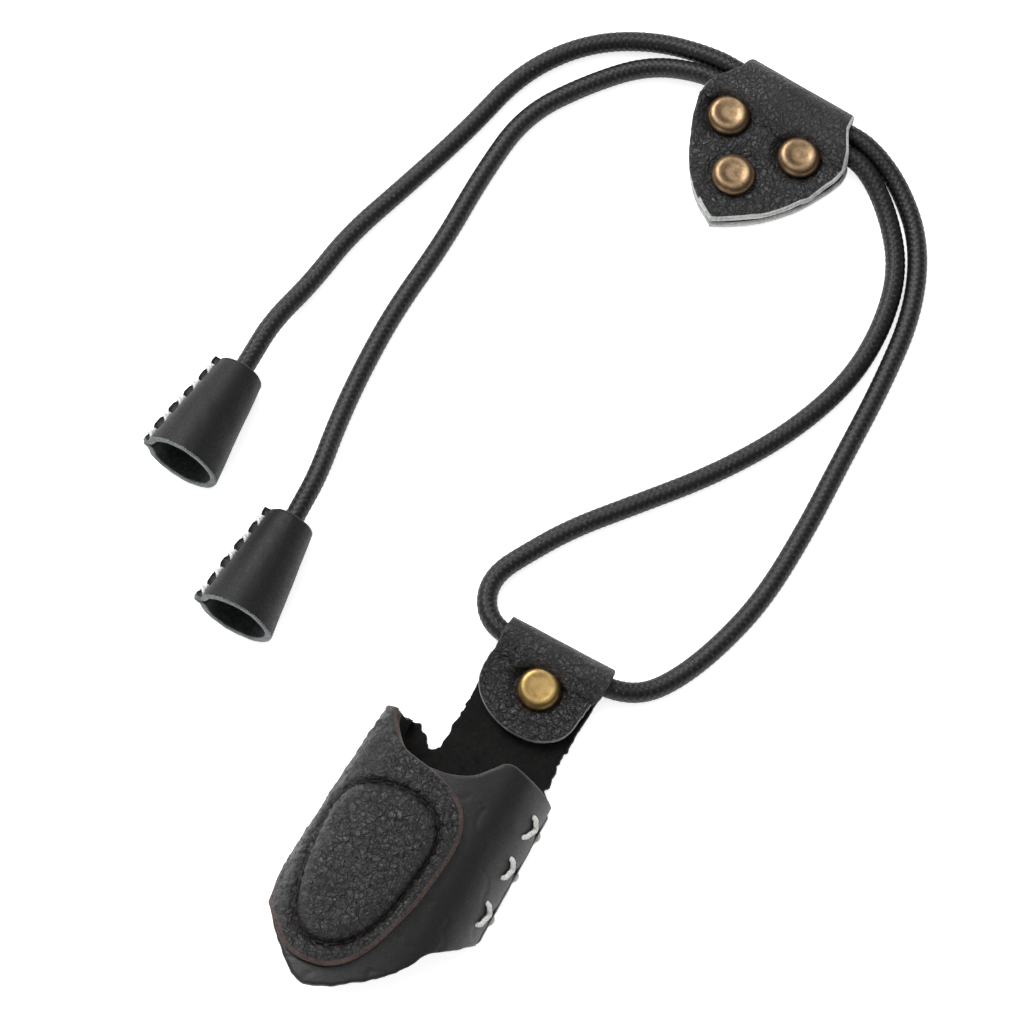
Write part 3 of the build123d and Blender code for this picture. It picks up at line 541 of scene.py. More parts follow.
def leather(name, dark, light, rough, pebble_mm, pebble_depth, wrinkle_mm=0.0, wrinkle_depth=0.0, spec=0.5, coat=0.0, sheen=0.0,
            creases=False, ridges=0.2):
    """black leather: grain cells and fine pores, with painted shade in the grain creases and painted highlight on the
    high spots; a vertex attribute darkens it towards rust brown, for patina and painted shade
    """
    m = Net(name, dark, rough, Specular_IOR_Level=spec, Coat_Weight=coat, Coat_Roughness=0.35, Sheen_Weight=sheen,
            Sheen_Roughness=0.5)
    warp = m.node("ShaderNodeMix", data_type="VECTOR")
    wn = m.node("ShaderNodeTexNoise")
    wn.inputs["Scale"].default_value = 1000.0 / (pebble_mm * 1.6)
    m.link(m.coord.outputs["Object"], wn.inputs["Vector"])
    m.link(m.coord.outputs["Object"], warp.inputs[4])
    m.link(wn.outputs["Color"], warp.inputs[5])
    warp.inputs[0].default_value = 0.0016 * pebble_mm
    sc = m.node("ShaderNodeVectorMath", operation="SCALE")
    sc.inputs["Scale"].default_value = 1000.0 / pebble_mm
    m.link(warp.outputs[1], sc.inputs[0])
    v = m.voronoi(pebble_mm, vector=sc.outputs[0])
    grain = m.ramp(v, [(0.0, 0.0), (0.12, 0.55), (0.42, 1.0)])
    big = m.noise(9.0, 3)
    fine = m.noise(0.42, 4, 0.7)
    if creases:
        slow = m.node("ShaderNodeTexNoise")
        slow.inputs["Scale"].default_value = 1000.0 / (wrinkle_mm * 1.7)
        slow.inputs["Detail"].default_value = 3.0
        m.link(m.coord.outputs["Object"], slow.inputs["Vector"])
        bend = m.node("ShaderNodeMix", data_type="VECTOR")
        bend.inputs[0].default_value = 0.0017 * wrinkle_mm
        m.link(m.coord.outputs["Object"], bend.inputs[4])
        m.link(slow.outputs["Color"], bend.inputs[5])
        ws = m.node("ShaderNodeVectorMath", operation="SCALE")
        ws.inputs["Scale"].default_value = 1000.0 / wrinkle_mm
        m.link(bend.outputs[1], ws.inputs[0])
        lump = m.voronoi(wrinkle_mm, vector=ws.outputs[0])
        grain = m.math("MULTIPLY", grain, m.ramp(lump, [(0.0, 0.25), (0.16, 1.0)]))
    tone = m.math("MULTIPLY", grain, 0.50)
    tone = m.math("ADD", tone, m.math("MULTIPLY", fine, 0.50))
    tone = m.math("MULTIPLY", tone, m.math("ADD", m.math("MULTIPLY", big, 0.9), 0.5))
    # painted shade: the grain creases go darker than the base colour; painted highlight: the high spots go to the light
    # colour
    colour = m.ramp(tone, [(0.15, tuple(c * 0.45 for c in dark)), (0.45, dark), (0.95, light)])
    # the vertex attribute mixes in rust brown: patina, plus painted contact shade round the rivets and painted shade
    # along the patch groove
    tinted = m.mix(m.attribute("patina_and_shade"), colour, (0.018, 0.0075, 0.0045))
    m.base(tinted)
    m.roughness(m.ramp(tone, [(0.1, rough + 0.16), (0.9, rough - 0.05)]))
    n = m.bump(grain, pebble_depth, 0.9)
    n = m.bump(fine, pebble_depth * 0.7, 0.7, n)
    if creases:
        n = m.bump(m.ramp(lump, [(0.0, 0.0), (0.10, 0.62), (0.34, 1.0)]), wrinkle_depth, 0.9, n)
        r = m.math("ABSOLUTE", m.math("SUBTRACT", m.noise(wrinkle_mm * 1.3, 4, 0.6, distortion=0.8), 0.5), 0.0)
        m.bump(m.ramp(r, [(0.0, 0.0), (0.05, 0.6), (0.22, 1.0)]), ridges, 0.9, n)
    elif wrinkle_mm:
        m.bump(m.noise(wrinkle_mm, 3, 0.55), wrinkle_depth, 0.8, n)
    return m.mat


def suede(name, dark, light, rough=0.95, size=0.5, depth=0.25, sheen=0.15):
    """cut or flesh side of the leather, with fibres"""
    m = Net(name, dark, rough, Specular_IOR_Level=0.15, Sheen_Weight=sheen, Sheen_Roughness=0.6)
    a = m.noise(size, 5, 0.75)
    b = m.noise(size * 6, 3, 0.6)
    t = m.math("ADD", m.math("MULTIPLY", a, 0.65), m.math("MULTIPLY", b, 0.35))
    m.base(m.ramp(t, [(0.34, dark), (0.66, light)]))
    m.bump(a, depth, 0.9)
    return m.mat


def metal(name, base, deep, rough, patina):
    m = Net(name, base, rough, Metallic=1.0, Specular_IOR_Level=0.5)
    a = m.noise(1.3, 5, 0.65)
    b = m.noise(0.22, 3, 0.6)
    t = m.math("ADD", m.math("MULTIPLY", a, 0.7), m.math("MULTIPLY", b, 0.3))
    c = m.ramp(t, [(0.3, deep), (0.55, base), (0.8, tuple(min(1, x * 1.08) for x in base))])
    m.base(m.mix(m.attribute("patina_and_shade"), c, patina))
    m.roughness(m.ramp(t, [(0.3, rough + 0.14), (0.7, rough - 0.03)]))
    m.bump(b, 0.03, 0.6)
    return m.mat


def thread(name, dark, light, rough=0.85, sheen=0.3):
    m = Net(name, light, rough, Sheen_Weight=sheen, Sheen_Roughness=0.5, Specular_IOR_Level=0.25)
    a = m.noise(0.22, 4, 0.7)
    m.base(m.ramp(a, [(0.3, dark), (0.62, light)]))
    m.bump(a, 0.12, 0.9)
    return m.mat


def braid(name):
    """yarns of the cord: fine filaments along each, with painted highlight specks on the yarn ridges and painted shade
    in the hollows between yarns
    """
    m = Net(name, (0.012, 0.012, 0.013), 0.44, Specular_IOR_Level=0.35)
    f = m.noise(1.0, 3, 0.65, vector=m.stretched((46.0, 40.0, 1.0), uv=True))
    h = m.attribute("ridge")
    g = m.math("MULTIPLY", h, m.math("ADD", m.math("MULTIPLY", f, 0.9), 0.1))
    # painted highlight on the yarn ridges, painted shade in the hollows between them
    m.base(m.ramp(g, [(0.34, 0.0016), (0.50, 0.0045), (0.60, 0.030), (0.70, 0.34)]))
    m.bump(f, 0.08, 0.8)
    return m.mat


BLACK = (0.016, 0.016, 0.0165)
M_front = leather("sleeve smooth leather", (0.0052, 0.0052, 0.0056), (0.0125, 0.0125, 0.0132), 0.42, 0.6, 0.012, 6.0, 0.10, spec=0.45)
M_tab = leather("tab grained leather", (0.0056, 0.0056, 0.0061), (0.068, 0.068, 0.071), 0.38, 0.60, 0.055, 1.35, 0.18, creases=True, ridges=0.14)
M_pad = leather("pad pebbled leather", (0.0054, 0.0054, 0.0059), (0.048, 0.048, 0.051), 0.38, 0.60, 0.055, 1.45, 0.18, creases=True, ridges=0.14)
M_toggle = leather("toggle grained leather", (0.0054, 0.0054, 0.0059), (0.066, 0.066, 0.069), 0.38, 0.60, 0.055, 1.25, 0.18, creases=True, ridges=0.14)
M_bell = leather("bell leather", (0.0036, 0.0036, 0.0039), (0.0078, 0.0078, 0.0080), 0.50, 0.7, 0.010, 2.4, 0.05, spec=0.30)
M_rust = suede("leather cut edge brown", (0.026, 0.016, 0.014), (0.098, 0.066, 0.058), size=0.55)
M_greyedge = suede("leather cut edge grey", (0.20, 0.205, 0.20), (0.60, 0.61, 0.59), size=0.5)
M_rim = suede("bell mouth rim", (0.030, 0.035, 0.036), (0.25, 0.275, 0.28), size=0.5)
M_thinedge = suede("leather cut edge thin", (0.05, 0.05, 0.05), (0.30, 0.30, 0.295), size=0.5)
M_darkedge = suede("leather cut edge dark", (0.004, 0.004, 0.004), (0.020, 0.019, 0.019), size=0.5)
M_flesh = suede("leather flesh side", (0.0022, 0.0022, 0.0021), (0.0105, 0.0105, 0.0098), size=0.7, sheen=0.03)
M_bellflesh = suede("bell flesh side", (0.005, 0.0055, 0.0055), (0.045, 0.049, 0.050), size=0.8, sheen=0.05)
M_brass = metal("brass", (0.275, 0.188, 0.072), (0.165, 0.108, 0.040), 0.36, (0.03, 0.012, 0.005))
M_bronze = metal("antique brass", (0.200, 0.136, 0.078), (0.088, 0.056, 0.031), 0.33, (0.02, 0.012, 0.007))
M_whitethread = thread("waxed thread", (0.30, 0.29, 0.27), (0.80, 0.79, 0.76))
M_darkthread = thread("dark thread", (0.004, 0.004, 0.004), (0.016, 0.016, 0.017), sheen=0.05)
M_bellthread = thread("bell thread", (0.36, 0.36, 0.35), (0.86, 0.86, 0.85))
M_braid = braid("cord braid")


def point_attribute(obj, name, values):
    a = obj.data.attributes.new(name, "FLOAT", "POINT")
    v = np.zeros(len(obj.data.vertices), np.float32)
    v[:len(values)] = values
    a.data.foreach_set("value", v)


# ---------------------------------------------------------------- cord
line = nurbs_points(ROUTE, 24)
fine, s_fine = resample(line, 0.27)
N_YARN, PITCH = 8, 1.22


def braid_height(th, s):
    u1 = N_YARN * th / (2 * math.pi) + s / PITCH
    u2 = -N_YARN * th / (2 * math.pi) + s / PITCH
    f1, f2 = u1 - np.floor(u1), u2 - np.floor(u2)
    over = (np.floor(u1) + np.floor(u2)) % 2 == 0
    r1 = np.sqrt(np.clip(1 - (2 * f1 - 1) ** 2, 0, 1))
    r2 = np.sqrt(np.clip(1 - (2 * f2 - 1) ** 2, 0, 1))
    across1, across2 = np.sin(math.pi * f2), np.sin(math.pi * f1)
    top = np.where(over, r1 * (0.62 + 0.38 * across1), r2 * (0.62 + 0.38 * across2))
    return top


CORD_AROUND = 50
cv, cf, cm, (cth, cs) = tube(fine, CORD_D / 2 - 0.16, CORD_AROUND, height=lambda th, s: 0.20 * braid_height(th, s))
ring_u = np.broadcast_to(np.linspace(0, 1, CORD_AROUND, endpoint=False)[None, :], (len(fine), CORD_AROUND))
ring_s = np.broadcast_to(s_fine[:, None], (len(fine), CORD_AROUND))
uv = np.zeros((len(cv), 2))
uv[:len(fine) * CORD_AROUND] = np.stack([ring_u.ravel(), ring_s.ravel() / 12.0], 1)
cord_obj = make_object("cord_braided", cv, cf, [M_braid], cm, uvs=uv)
ridge = np.full(len(cv), 0.4)
ridge[:len(fine) * CORD_AROUND] = braid_height(ring_u * 2 * math.pi, ring_s).ravel()
point_attribute(cord_obj, "ridge", ridge)
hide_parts("cord")
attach(cord_obj, "cord")


def knot_mesh(end, before, seed):
    """an overhand knot drawn down tight, with its short cut tail"""
    end, before = np.array(end, float), np.array(before, float)
    d = end - before
    d[2] = 0
    d /= np.linalg.norm(d)
    side = np.cross(d, [0, 0, 1.0])
    upv = np.array([0, 0, 1.0])
    t = np.linspace(0, 1, 150)
    w = t * 2 * math.pi * 1.72
    r = 1.55 + 0.25 * np.sin(3 * w)
    along = 3.1 - 1.55 * np.cos(w * 0.97 + 0.4) * 1.0 + 0.9 * (t - 0.5)
    x = r * np.cos(w * 1.0 + 0.9) + 0.15
    z = r * np.sin(w * 2.0 + 0.3) * 0.62 + r * np.sin(w + 0.9) * 0.55
    body = end + np.outer(along, d) + np.outer(x, side) + np.outer(z + 0.7, upv)
    lead = np.array([end - d * 1.2, end + d * 0.2])
    tail_end = end + d * 7.3 + upv * 0.4
    pts = np.concatenate([lead, body, [end + d * 5.4 + upv * 0.4, tail_end]])
    p, s = resample(smooth_line(pts, 0.25), 0.22)
    r = np.full(len(p), 1.62)
    r[s < 1.5] = 1.75
    c = end + d * 3.0 + upv * 0.7
    over = np.linalg.norm(p - c, axis=1) - 2.1
    v, f, m, _ = tube(p, r, 22, height=lambda th, s: 0.13 * braid_height(th, s))
    # drawn down: nothing further than the CAD knot from its middle
    q = v - c
    a = q @ d
    rad = q - np.outer(a, d)
    n = np.linalg.norm(rad, axis=1)
    lim = 3.5
    k = np.where(n > lim * 0.8, (lim * 0.8 + (lim * 0.3) * np.tanh((n - lim * 0.8) / (lim * 0.3))) / np.maximum(n, 1e-6), 1)
    v = c + np.outer(a, d) + rad * k[:, None]
    return v, f, m


for name, i, j, seed in (("cord_knot_left", 0, 1, 3), ("cord_knot_right", -1, -2, 4)):
    v, f, m = knot_mesh(ROUTE[i], ROUTE[j], seed)
    o = make_object(name + "_tied", v, f, [M_braid], m)
    # one even ridge value, so the knots get their painted highlight specks from the noise alone
    point_attribute(o, "ridge", np.full(len(v), 0.62))
    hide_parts(name)
    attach(o, "cord")
length_m = float(np.linalg.norm(np.diff(line, axis=0), axis=1).sum()) * MM
print("cord line length", round(length_m, 4))

# ---------------------------------------------------------------- sleeve section
FOLD_R, WALL_R, CROWN_R, CORNER_R = 8.2, 12.7, 40.0, 3.2


def section_at(y):
    """centres and arc angles of the sleeve's outer section at y"""
    c1x, c1z = -12.7 + 0.055 * (y - 15.0), np.full_like(y, 8.2)
    c2x, c2z = np.full_like(y, 0.5), np.full_like(y, 3.4)
    ra, rb = CROWN_R - FOLD_R, CROWN_R - WALL_R
    dx, dz = c2x - c1x, c2z - c1z
    ln = np.hypot(dx, dz)
    x = (ln ** 2 + ra ** 2 - rb ** 2) / (2 * ln)
    h = np.sqrt(ra ** 2 - x ** 2)
    mx, mz = c1x + dx / ln * x, c1z + dz / ln * x
    px, pz = mx - dz / ln * h, mz + dx / ln * h
    qx, qz = mx + dz / ln * h, mz - dx / ln * h
    low = pz < qz
    c3x, c3z = np.where(low, px, qx), np.where(low, pz, qz)
    a1 = np.arctan2(c1z - c3z, c1x - c3x)
    a2 = np.arctan2(c2z - c3z, c2x - c3x)
    return c1x, c1z, c3x, c3z, a1, a2


SEAM_A = math.asin(1.6 / 12.7)


def lengths(y, o):
    c1x, c1z, c3x, c3z, a1, a2 = section_at(y)
    one = np.ones_like(y)
    return np.stack([(WALL_R + o) * (a2 - SEAM_A), (CROWN_R + o) * (a1 - a2), (FOLD_R + o) * (1.5 * math.pi - a1), 10 - c1x,
                     (CORNER_R + o) * math.pi / 2 * one, (0.2 + (WALL_R + o) * SEAM_A) * one], 0)


REF = lengths(np.array([0.0]), -0.8)[:, 0]
CUM = np.r_[0, np.cumsum(REF)]
A_TOTAL = CUM[-1]


def section_point(a, y, o):
    """point and outward normal of the section at unrolled place a; o grows the section"""
    a, y = np.asarray(a, float), np.asarray(y, float)
    o = np.broadcast_to(np.asarray(o, float), a.shape)
    c1x, c1z, c3x, c3z, a1, a2 = section_at(y)
    k = np.clip(np.searchsorted(CUM, a, side="right") - 1, 0, 5)
    f = (a - CUM[k]) / REF[k]
    x, z = np.zeros_like(a), np.zeros_like(a)
    nx, nz = np.zeros_like(a), np.zeros_like(a)

    def arc(sel, cx, cz, r, ang):
        nx[sel], nz[sel] = np.cos(ang)[sel], np.sin(ang)[sel]
        x[sel], z[sel] = (cx + (r + o) * np.cos(ang))[sel], (cz + (r + o) * np.sin(ang))[sel]
    arc(k == 0, 0.5, 3.4, WALL_R, SEAM_A + (a2 - SEAM_A) * f)
    arc(k == 1, c3x, c3z, CROWN_R, a2 + (a1 - a2) * f)
    arc(k == 2, c1x, c1z, FOLD_R, a1 + (1.5 * math.pi - a1) * f)
    s = k == 3
    x[s], z[s], nx[s], nz[s] = (c1x + (10 - c1x) * f)[s], (-o)[s], 0, -1
    arc(k == 4, 10.0, 3.2, CORNER_R, 1.5 * math.pi + math.pi / 2 * f)
    s = k == 5
    w = f * (0.2 + (WALL_R + o) * SEAM_A)
    ang = np.maximum(w - 0.2, 0) / (WALL_R + o)
    flat = w < 0.2
    x[s] = np.where(flat, 13.2 + o, 0.5 + (WALL_R + o) * np.cos(ang))[s]
    z[s] = np.where(flat, 3.2 + w, 3.4 + (WALL_R + o) * np.sin(ang))[s]
    nx[s], nz[s] = np.cos(ang)[s], np.sin(ang)[s]
    return x, z, nx, nz


A_LEFT = CUM[2] + REF[2] * (math.pi - float(section_at(np.array([0.0]))[4][0])) / (1.5 * math.pi - float(section_at(np.array([0.0]))[4][0]))


def unroll(x, y, side, o=-0.8):
    """unrolled place of plan point x, y on the front or back"""
    a = np.linspace(0, A_LEFT, 900) if side == "front" else np.linspace(A_LEFT, A_TOTAL, 900)
    out = []
    for xi, yi in zip(np.atleast_1d(x), np.atleast_1d(y)):
        px = section_point(a, np.full_like(a, yi), o)[0]
        if side == "front":
            i = np.argmax(px)
            out.append(np.interp(xi, px[i:][::-1], a[i:][::-1]))
        else:
            i = np.argmax(px)
            out.append(np.interp(xi, px[:i + 1], a[:i + 1]))
    return np.array(out)


def unroll_z(y, z, o):
    """unrolled place on the fold at height z"""
    a = np.linspace(A_LEFT - 14, A_LEFT + 12, 700)
    out = []
    for yi, zi in zip(y, z):
        pz = section_point(a, np.full_like(a, yi), o)[1]
        out.append(np.interp(zi, pz[::-1], a[::-1]))
    return np.array(out)


def fillet_path(points, radii, step=0.08):
    """dense line through a polyline with rounded corners, in 2-D"""
    p = [np.array(q, float) for q in points]
    out = [p[0]]
    for i in range(1, len(p) - 1):
        u, v = p[i - 1] - p[i], p[i + 1] - p[i]
        u, v = u / np.linalg.norm(u), v / np.linalg.norm(v)
        half = math.acos(float(np.clip(u @ v, -1, 1))) / 2
        r = radii[i - 1]
        t = r / math.tan(half)
        c = p[i] + (u + v) / np.linalg.norm(u + v) * r / math.sin(half)
        s, e = p[i] + u * t, p[i] + v * t
        a0, a1 = math.atan2(*(s - c)[::-1]), math.atan2(*(e - c)[::-1])
        d = (a1 - a0 + math.pi) % (2 * math.pi) - math.pi
        n = max(3, int(abs(d) * r / step))
        for k in range(n + 1):
            a = a0 + d * k / n
            out.append(c + r * np.array([math.cos(a), math.sin(a)]))
    out.append(p[-1])
    out = np.array(out)
    s = np.r_[0, np.cumsum(np.linalg.norm(np.diff(out, axis=0), axis=1))]
    keep = np.r_[True, np.diff(s) > 1e-9]
    out, s = out[keep], s[keep]
    t = np.arange(0, s[-1], step)
    t = np.r_[t, s[-1]]
    return np.stack([np.interp(t, s, out[:, k]) for k in (0, 1)], 1), t


STRAP, STRAP_S = fillet_path([(16, 0.8), (27.5, 0.8), (34, 1.8), (43.2, 1.8), (45.4, 0.75), (48.85, 0.75), (48.85, 6.45),
                              (44.355, 6.45), (42.61, 3.43), (30.2, 3.43)], [14, 14, 2.4, 2.4, 2.845, 2.845, 2.84, 2.0])
STRAP_D = np.gradient(STRAP, axis=0)
STRAP_D /= np.linalg.norm(STRAP_D, axis=1)[:, None]
B_END = 16 + STRAP_S[-1]


def sleeve_map(a, b, o=0.0):
    """mid-leather point and outward normal at unrolled a, b"""
    a, b = np.asarray(a, float), np.asarray(b, float)
    x, z, nx, nz = section_point(a, np.minimum(b, 27.5), -0.8 + o)
    P = np.stack([x, b, z], 1)
    N = np.stack([nx, np.zeros_like(nx), nz], 1)
    s = (b > 20.0) & (a > A_LEFT + 6)
    w = b[s] - 16
    y, zz = np.interp(w, STRAP_S, STRAP[:, 0]), np.interp(w, STRAP_S, STRAP[:, 1])
    over = np.maximum(w - STRAP_S[-1], 0)
    dy, dz = np.interp(w, STRAP_S, STRAP_D[:, 0]), np.interp(w, STRAP_S, STRAP_D[:, 1])
    n = np.stack([np.zeros_like(dy), dz, -dy], 1)
    n /= np.linalg.norm(n, axis=1)[:, None]
    P[s] = np.stack([P[s][:, 0], y - over, zz], 1) + n * o
    N[s] = n
    return P, N


def tongue_b(y):
    """unrolled place of plan y on the tongue"""
    return B_END - (y - 30.2)


FRONT_TOP = [(-18.7, 22.6), (-18.2, 20.9), (-16.6, 19.0), (-14.9, 17.4), (-13.2, 16.4), (-10.9, 15.7), (-8.0, 15.7), (-4.7, 16.3),
             (-1.2, 18.0), (0.9, 20.4), (2.6, 22.7)]
FRONT_RIGHT = [(2.6, 22.7), (4.4, 23.3), (8.3, 22.7), (11.0, 22.1), (12.4, 21.6)]
FRONT_END = [(12.4, -6.7), (10.6, -9.3), (8.5, -11.4), (6.6, -13.4), (4.9, -17.0), (1.4, -21.2), (-2.6, -24.5), (-6.0, -26.8),
             (-9.2, -28.0), (-11.6, -27.3), (-15.1, -24.8), (-18.1, -22.1), (-20.2, -19.6), (-21.9, -18.1)]
BACK_TOP = [(-18.7, 23.4), (-17.2, 24.3), (-15.2, 23.8), (-13.6, 22.6), (-12.7, 21.5), (-11.7, 21.2), (-10.5, 22.3)]
BACK_RIGHT = [(10.4, 23.9), (12.0, 22.6)]
BACK_END = [(12.0, -6.2), (8.0, -9.0), (0.0, -13.2), (-8.0, -16.6), (-14.0, -18.2), (-20.2, -18.5)]
TONGUE = [(-10.9, 38.6), (-10.5, 36.4), (-9.1, 34.2), (-6.2, 32.0), (-2.3, 30.6), (1.9, 30.4), (5.2, 31.2), (8.0, 33.0),
          (9.5, 35.4), (10.0, 38.6)]
RIVET = np.array([0.45, 39.85])
SEAM_Y = (16.2, 8.3, -0.4)


def plan_edge(points, side, o=-0.8):
    p = smooth_line(np.array(points, float), 0.35)
    return np.stack([unroll(p[:, 0], p[:, 1], side, o), p[:, 1]], 1)


def roughened(line2, amount, size, seed):
    n = vnoise(flat3(line2[:, 0], line2[:, 1]), size, seed)
    m = vnoise(flat3(line2[:, 0], line2[:, 1]), size * 0.45, seed + 9)
    d = np.gradient(line2, axis=0)
    d /= np.linalg.norm(d, axis=1)[:, None] + 1e-12
    k = np.sin(np.linspace(0, math.pi, len(line2))) ** 0.3
    return line2 + np.stack([-d[:, 1], d[:, 0]], 1) * ((n * 0.7 + m * 0.5) * amount * k)[:, None]


parts = []
parts.append(plan_edge(FRONT_RIGHT[::-1], "front"))
parts.append(plan_edge(FRONT_TOP[::-1], "front")[1:])
parts.append(np.array([[A_LEFT - 1.5, 23.2], [A_LEFT, 23.45], [A_LEFT + 2.5, 23.5]]))
back_top = plan_edge(BACK_TOP, "back")
parts.append(roughened(back_top[back_top[:, 0] > A_LEFT + 3.2], 0.62, 1.3, 21))
xl = float(unroll(-10.5, 22.0, "back")[0])
xr = float(unroll(10.2, 22.0, "back")[0])
left_run = np.stack([np.full(60, xl), np.linspace(22.8, tongue_b(38.9), 60)], 1)
left_run = dense(left_run, 0.35, closed=False)
left_run[:, 0] += (0.36 * vnoise(flat3(left_run[:, 1], left_run[:, 0] * 0), 1.7, 5) + 0.34 * vnoise(flat3(left_run[:, 1], left_run[:, 0] * 0), 0.62, 6)) \
    * np.where(left_run[:, 1] < 33, 1.0, 0.22)
left_run[:, 0] += np.interp(left_run[:, 1], [tongue_b(44.0), tongue_b(38.9)], [0.0, (xr - xl) / 20.9 * -0.4])
parts.append(left_run)
tg = smooth_line(np.array(TONGUE, float), 0.3)
tg_a = xl + (tg[:, 0] + 10.5) * (xr - xl) / 20.9
parts.append(np.stack([tg_a, tongue_b(tg[:, 1])], 1))
right_run = np.stack([np.full(60, xr), np.linspace(tongue_b(38.9), 24.3, 60)], 1)
right_run = dense(right_run, 0.35, closed=False)
right_run[:, 0] += (0.34 * vnoise(flat3(right_run[:, 1], right_run[:, 0] * 0), 1.5, 7) + 0.34 * vnoise(flat3(right_run[:, 1], right_run[:, 0] * 0), 0.6, 8)) \
    * np.where(right_run[:, 1] < 33, 1.0, 0.22)
right_run[:, 0] += (xr - xl) / 20.9 * np.interp(right_run[:, 1], [33.0, tongue_b(47.5) - 4.0, tongue_b(47.0), tongue_b(45.0), tongue_b(42.5), tongue_b(38.9)], [0.0, 0.9, 1.35, 0.8, 0.05, -0.3])
parts.append(right_run)
parts.append(plan_edge(BACK_RIGHT, "back")[1:])
seam_back = dense(np.array([[A_TOTAL - 0.05, 21.2], [A_TOTAL - 0.05, -4.6]]), 0.35, closed=False)
seam_front = dense(np.array([[0.05, -6.4], [0.05, 21.3]]), 0.35, closed=False)
for y0 in SEAM_Y:
    seam_front[:, 0] += 0.55 * np.exp(-((seam_front[:, 1] - y0) / 0.9) ** 2) - 0.18 * np.exp(-((np.abs(seam_front[:, 1] - y0) - 2.0) / 0.9) ** 2)
    seam_back[:, 0] -= 0.5 * np.exp(-((seam_back[:, 1] - y0) / 0.9) ** 2)
seam_front[:, 0] = np.maximum(seam_front[:, 0], 0.0)
parts.append(seam_back)
parts.append(plan_edge(BACK_END, "back"))
parts.append(np.array([[A_LEFT + 1.0, -18.2]]))
fe = plan_edge(FRONT_END[::-1], "front")
parts.append(roughened(fe[fe[:, 0] < A_LEFT - 0.4], 0.16, 1.8, 31))
parts.append(seam_front)


def clean_outline(parts, gap):
    p = np.concatenate(parts)
    out = [p[0]]
    for q in p[1:]:
        if np.linalg.norm(q - out[-1]) > gap:
            out.append(q)
    if np.linalg.norm(out[0] - out[-1]) < gap:
        out.pop()
    return dense(np.array(out), gap * 2.6)


SP = 0.46
sleeve_outline = clean_outline(parts, 0.14)

# the patch's outline in the same unrolled coordinates
PATCH = [(-18.85, 22.7), (-18.3, 20.95), (-16.7, 19.0), (-15.0, 17.35), (-13.2, 16.3), (-11.0, 15.85), (-7.8, 15.3), (-4.7, 14.5), (-1.9, 13.3), (-0.2, 12.2), (1.1, 10.6), (2.0, 8.8),
         (2.6, 6.6), (2.7, 3.8), (2.4, -0.2), (1.6, -6.4), (0.5, -10.8), (-1.0, -15.8), (-2.6, -19.2), (-4.2, -21.4), (-5.8, -22.8),
         (-7.6, -23.8), (-9.7, -24.3), (-12.2, -24.5), (-14.9, -23.9), (-17.2, -22.5), (-18.9, -20.8)]
PATCH_SIDE = [(23.0, 9.6), (20.0, 7.4), (16.0, 6.6), (11.5, 6.3), (6.0, 6.0), (0.0, 5.7), (-5.0, 6.2), (-9.0, 7.8), (-12.5, 10.2), (-15.5, 12.4),
              (-18.4, 13.6)]
GROOVE = [(-16.7, 8.2), (-14.6, 9.2), (-11.7, 9.8), (-8.1, 9.9), (-5.6, 9.4), (-3.5, 8.5), (-1.8, 6.9), (-0.9, 5.1), (-0.5, 3.0),
          (-0.5, 0.4), (-0.9, -3.4), (-1.5, -8.2), (-2.4, -11.8), (-3.6, -14.9), (-5.2, -17.5), (-7.5, -19.5), (-9.9, -20.5),
          (-12.0, -20.6), (-13.8, -20.1), (-15.4, -19.0), (-16.8, -17.2), (-17.8, -15.1), (-18.6, -12.4), (-19.3, -9.0),
          (-19.8, -5.3), (-20.1, -1.3), (-20.0, 1.9), (-19.5, 4.7), (-18.4, 6.9)]
pe = plan_edge(PATCH, "front", 0.73)
side = smooth_line(np.array(PATCH_SIDE, float), 0.35)
se = np.stack([unroll_z(side[:, 0], side[:, 1], 0.73), side[:, 0]], 1)[::-1]
patch_outline = clean_outline([pe, se], 0.14)
gl = smooth_line(np.array(GROOVE, float), 0.3, closed=True)
groove_line = np.stack([unroll(gl[:, 0], gl[:, 1], "front", 0.73), gl[:, 1]], 1)


def tongue_rise(A, B, P):
    """the tongue slopes gently down from its fold, and only the rivet pulls it flat"""
    t = B > tongue_b(45.2)
    d = np.hypot(P[:, 0] - RIVET[0], P[:, 1] - RIVET[1])
    goal = np.interp(P[:, 1], [29.0, 33.5, 38.0, 42.0, 44.6], [3.43, 3.75, 4.45, 5.55, 6.40])
    lift = np.maximum(goal - P[:, 2], 0) * ramp(d, 4.0, 6.6)
    lift += 0.55 * ramp(P[:, 0], 7.2, 10.6) * np.exp(-((P[:, 1] - 37.0) / 4.0) ** 2)
    return np.where(t, lift, 0)


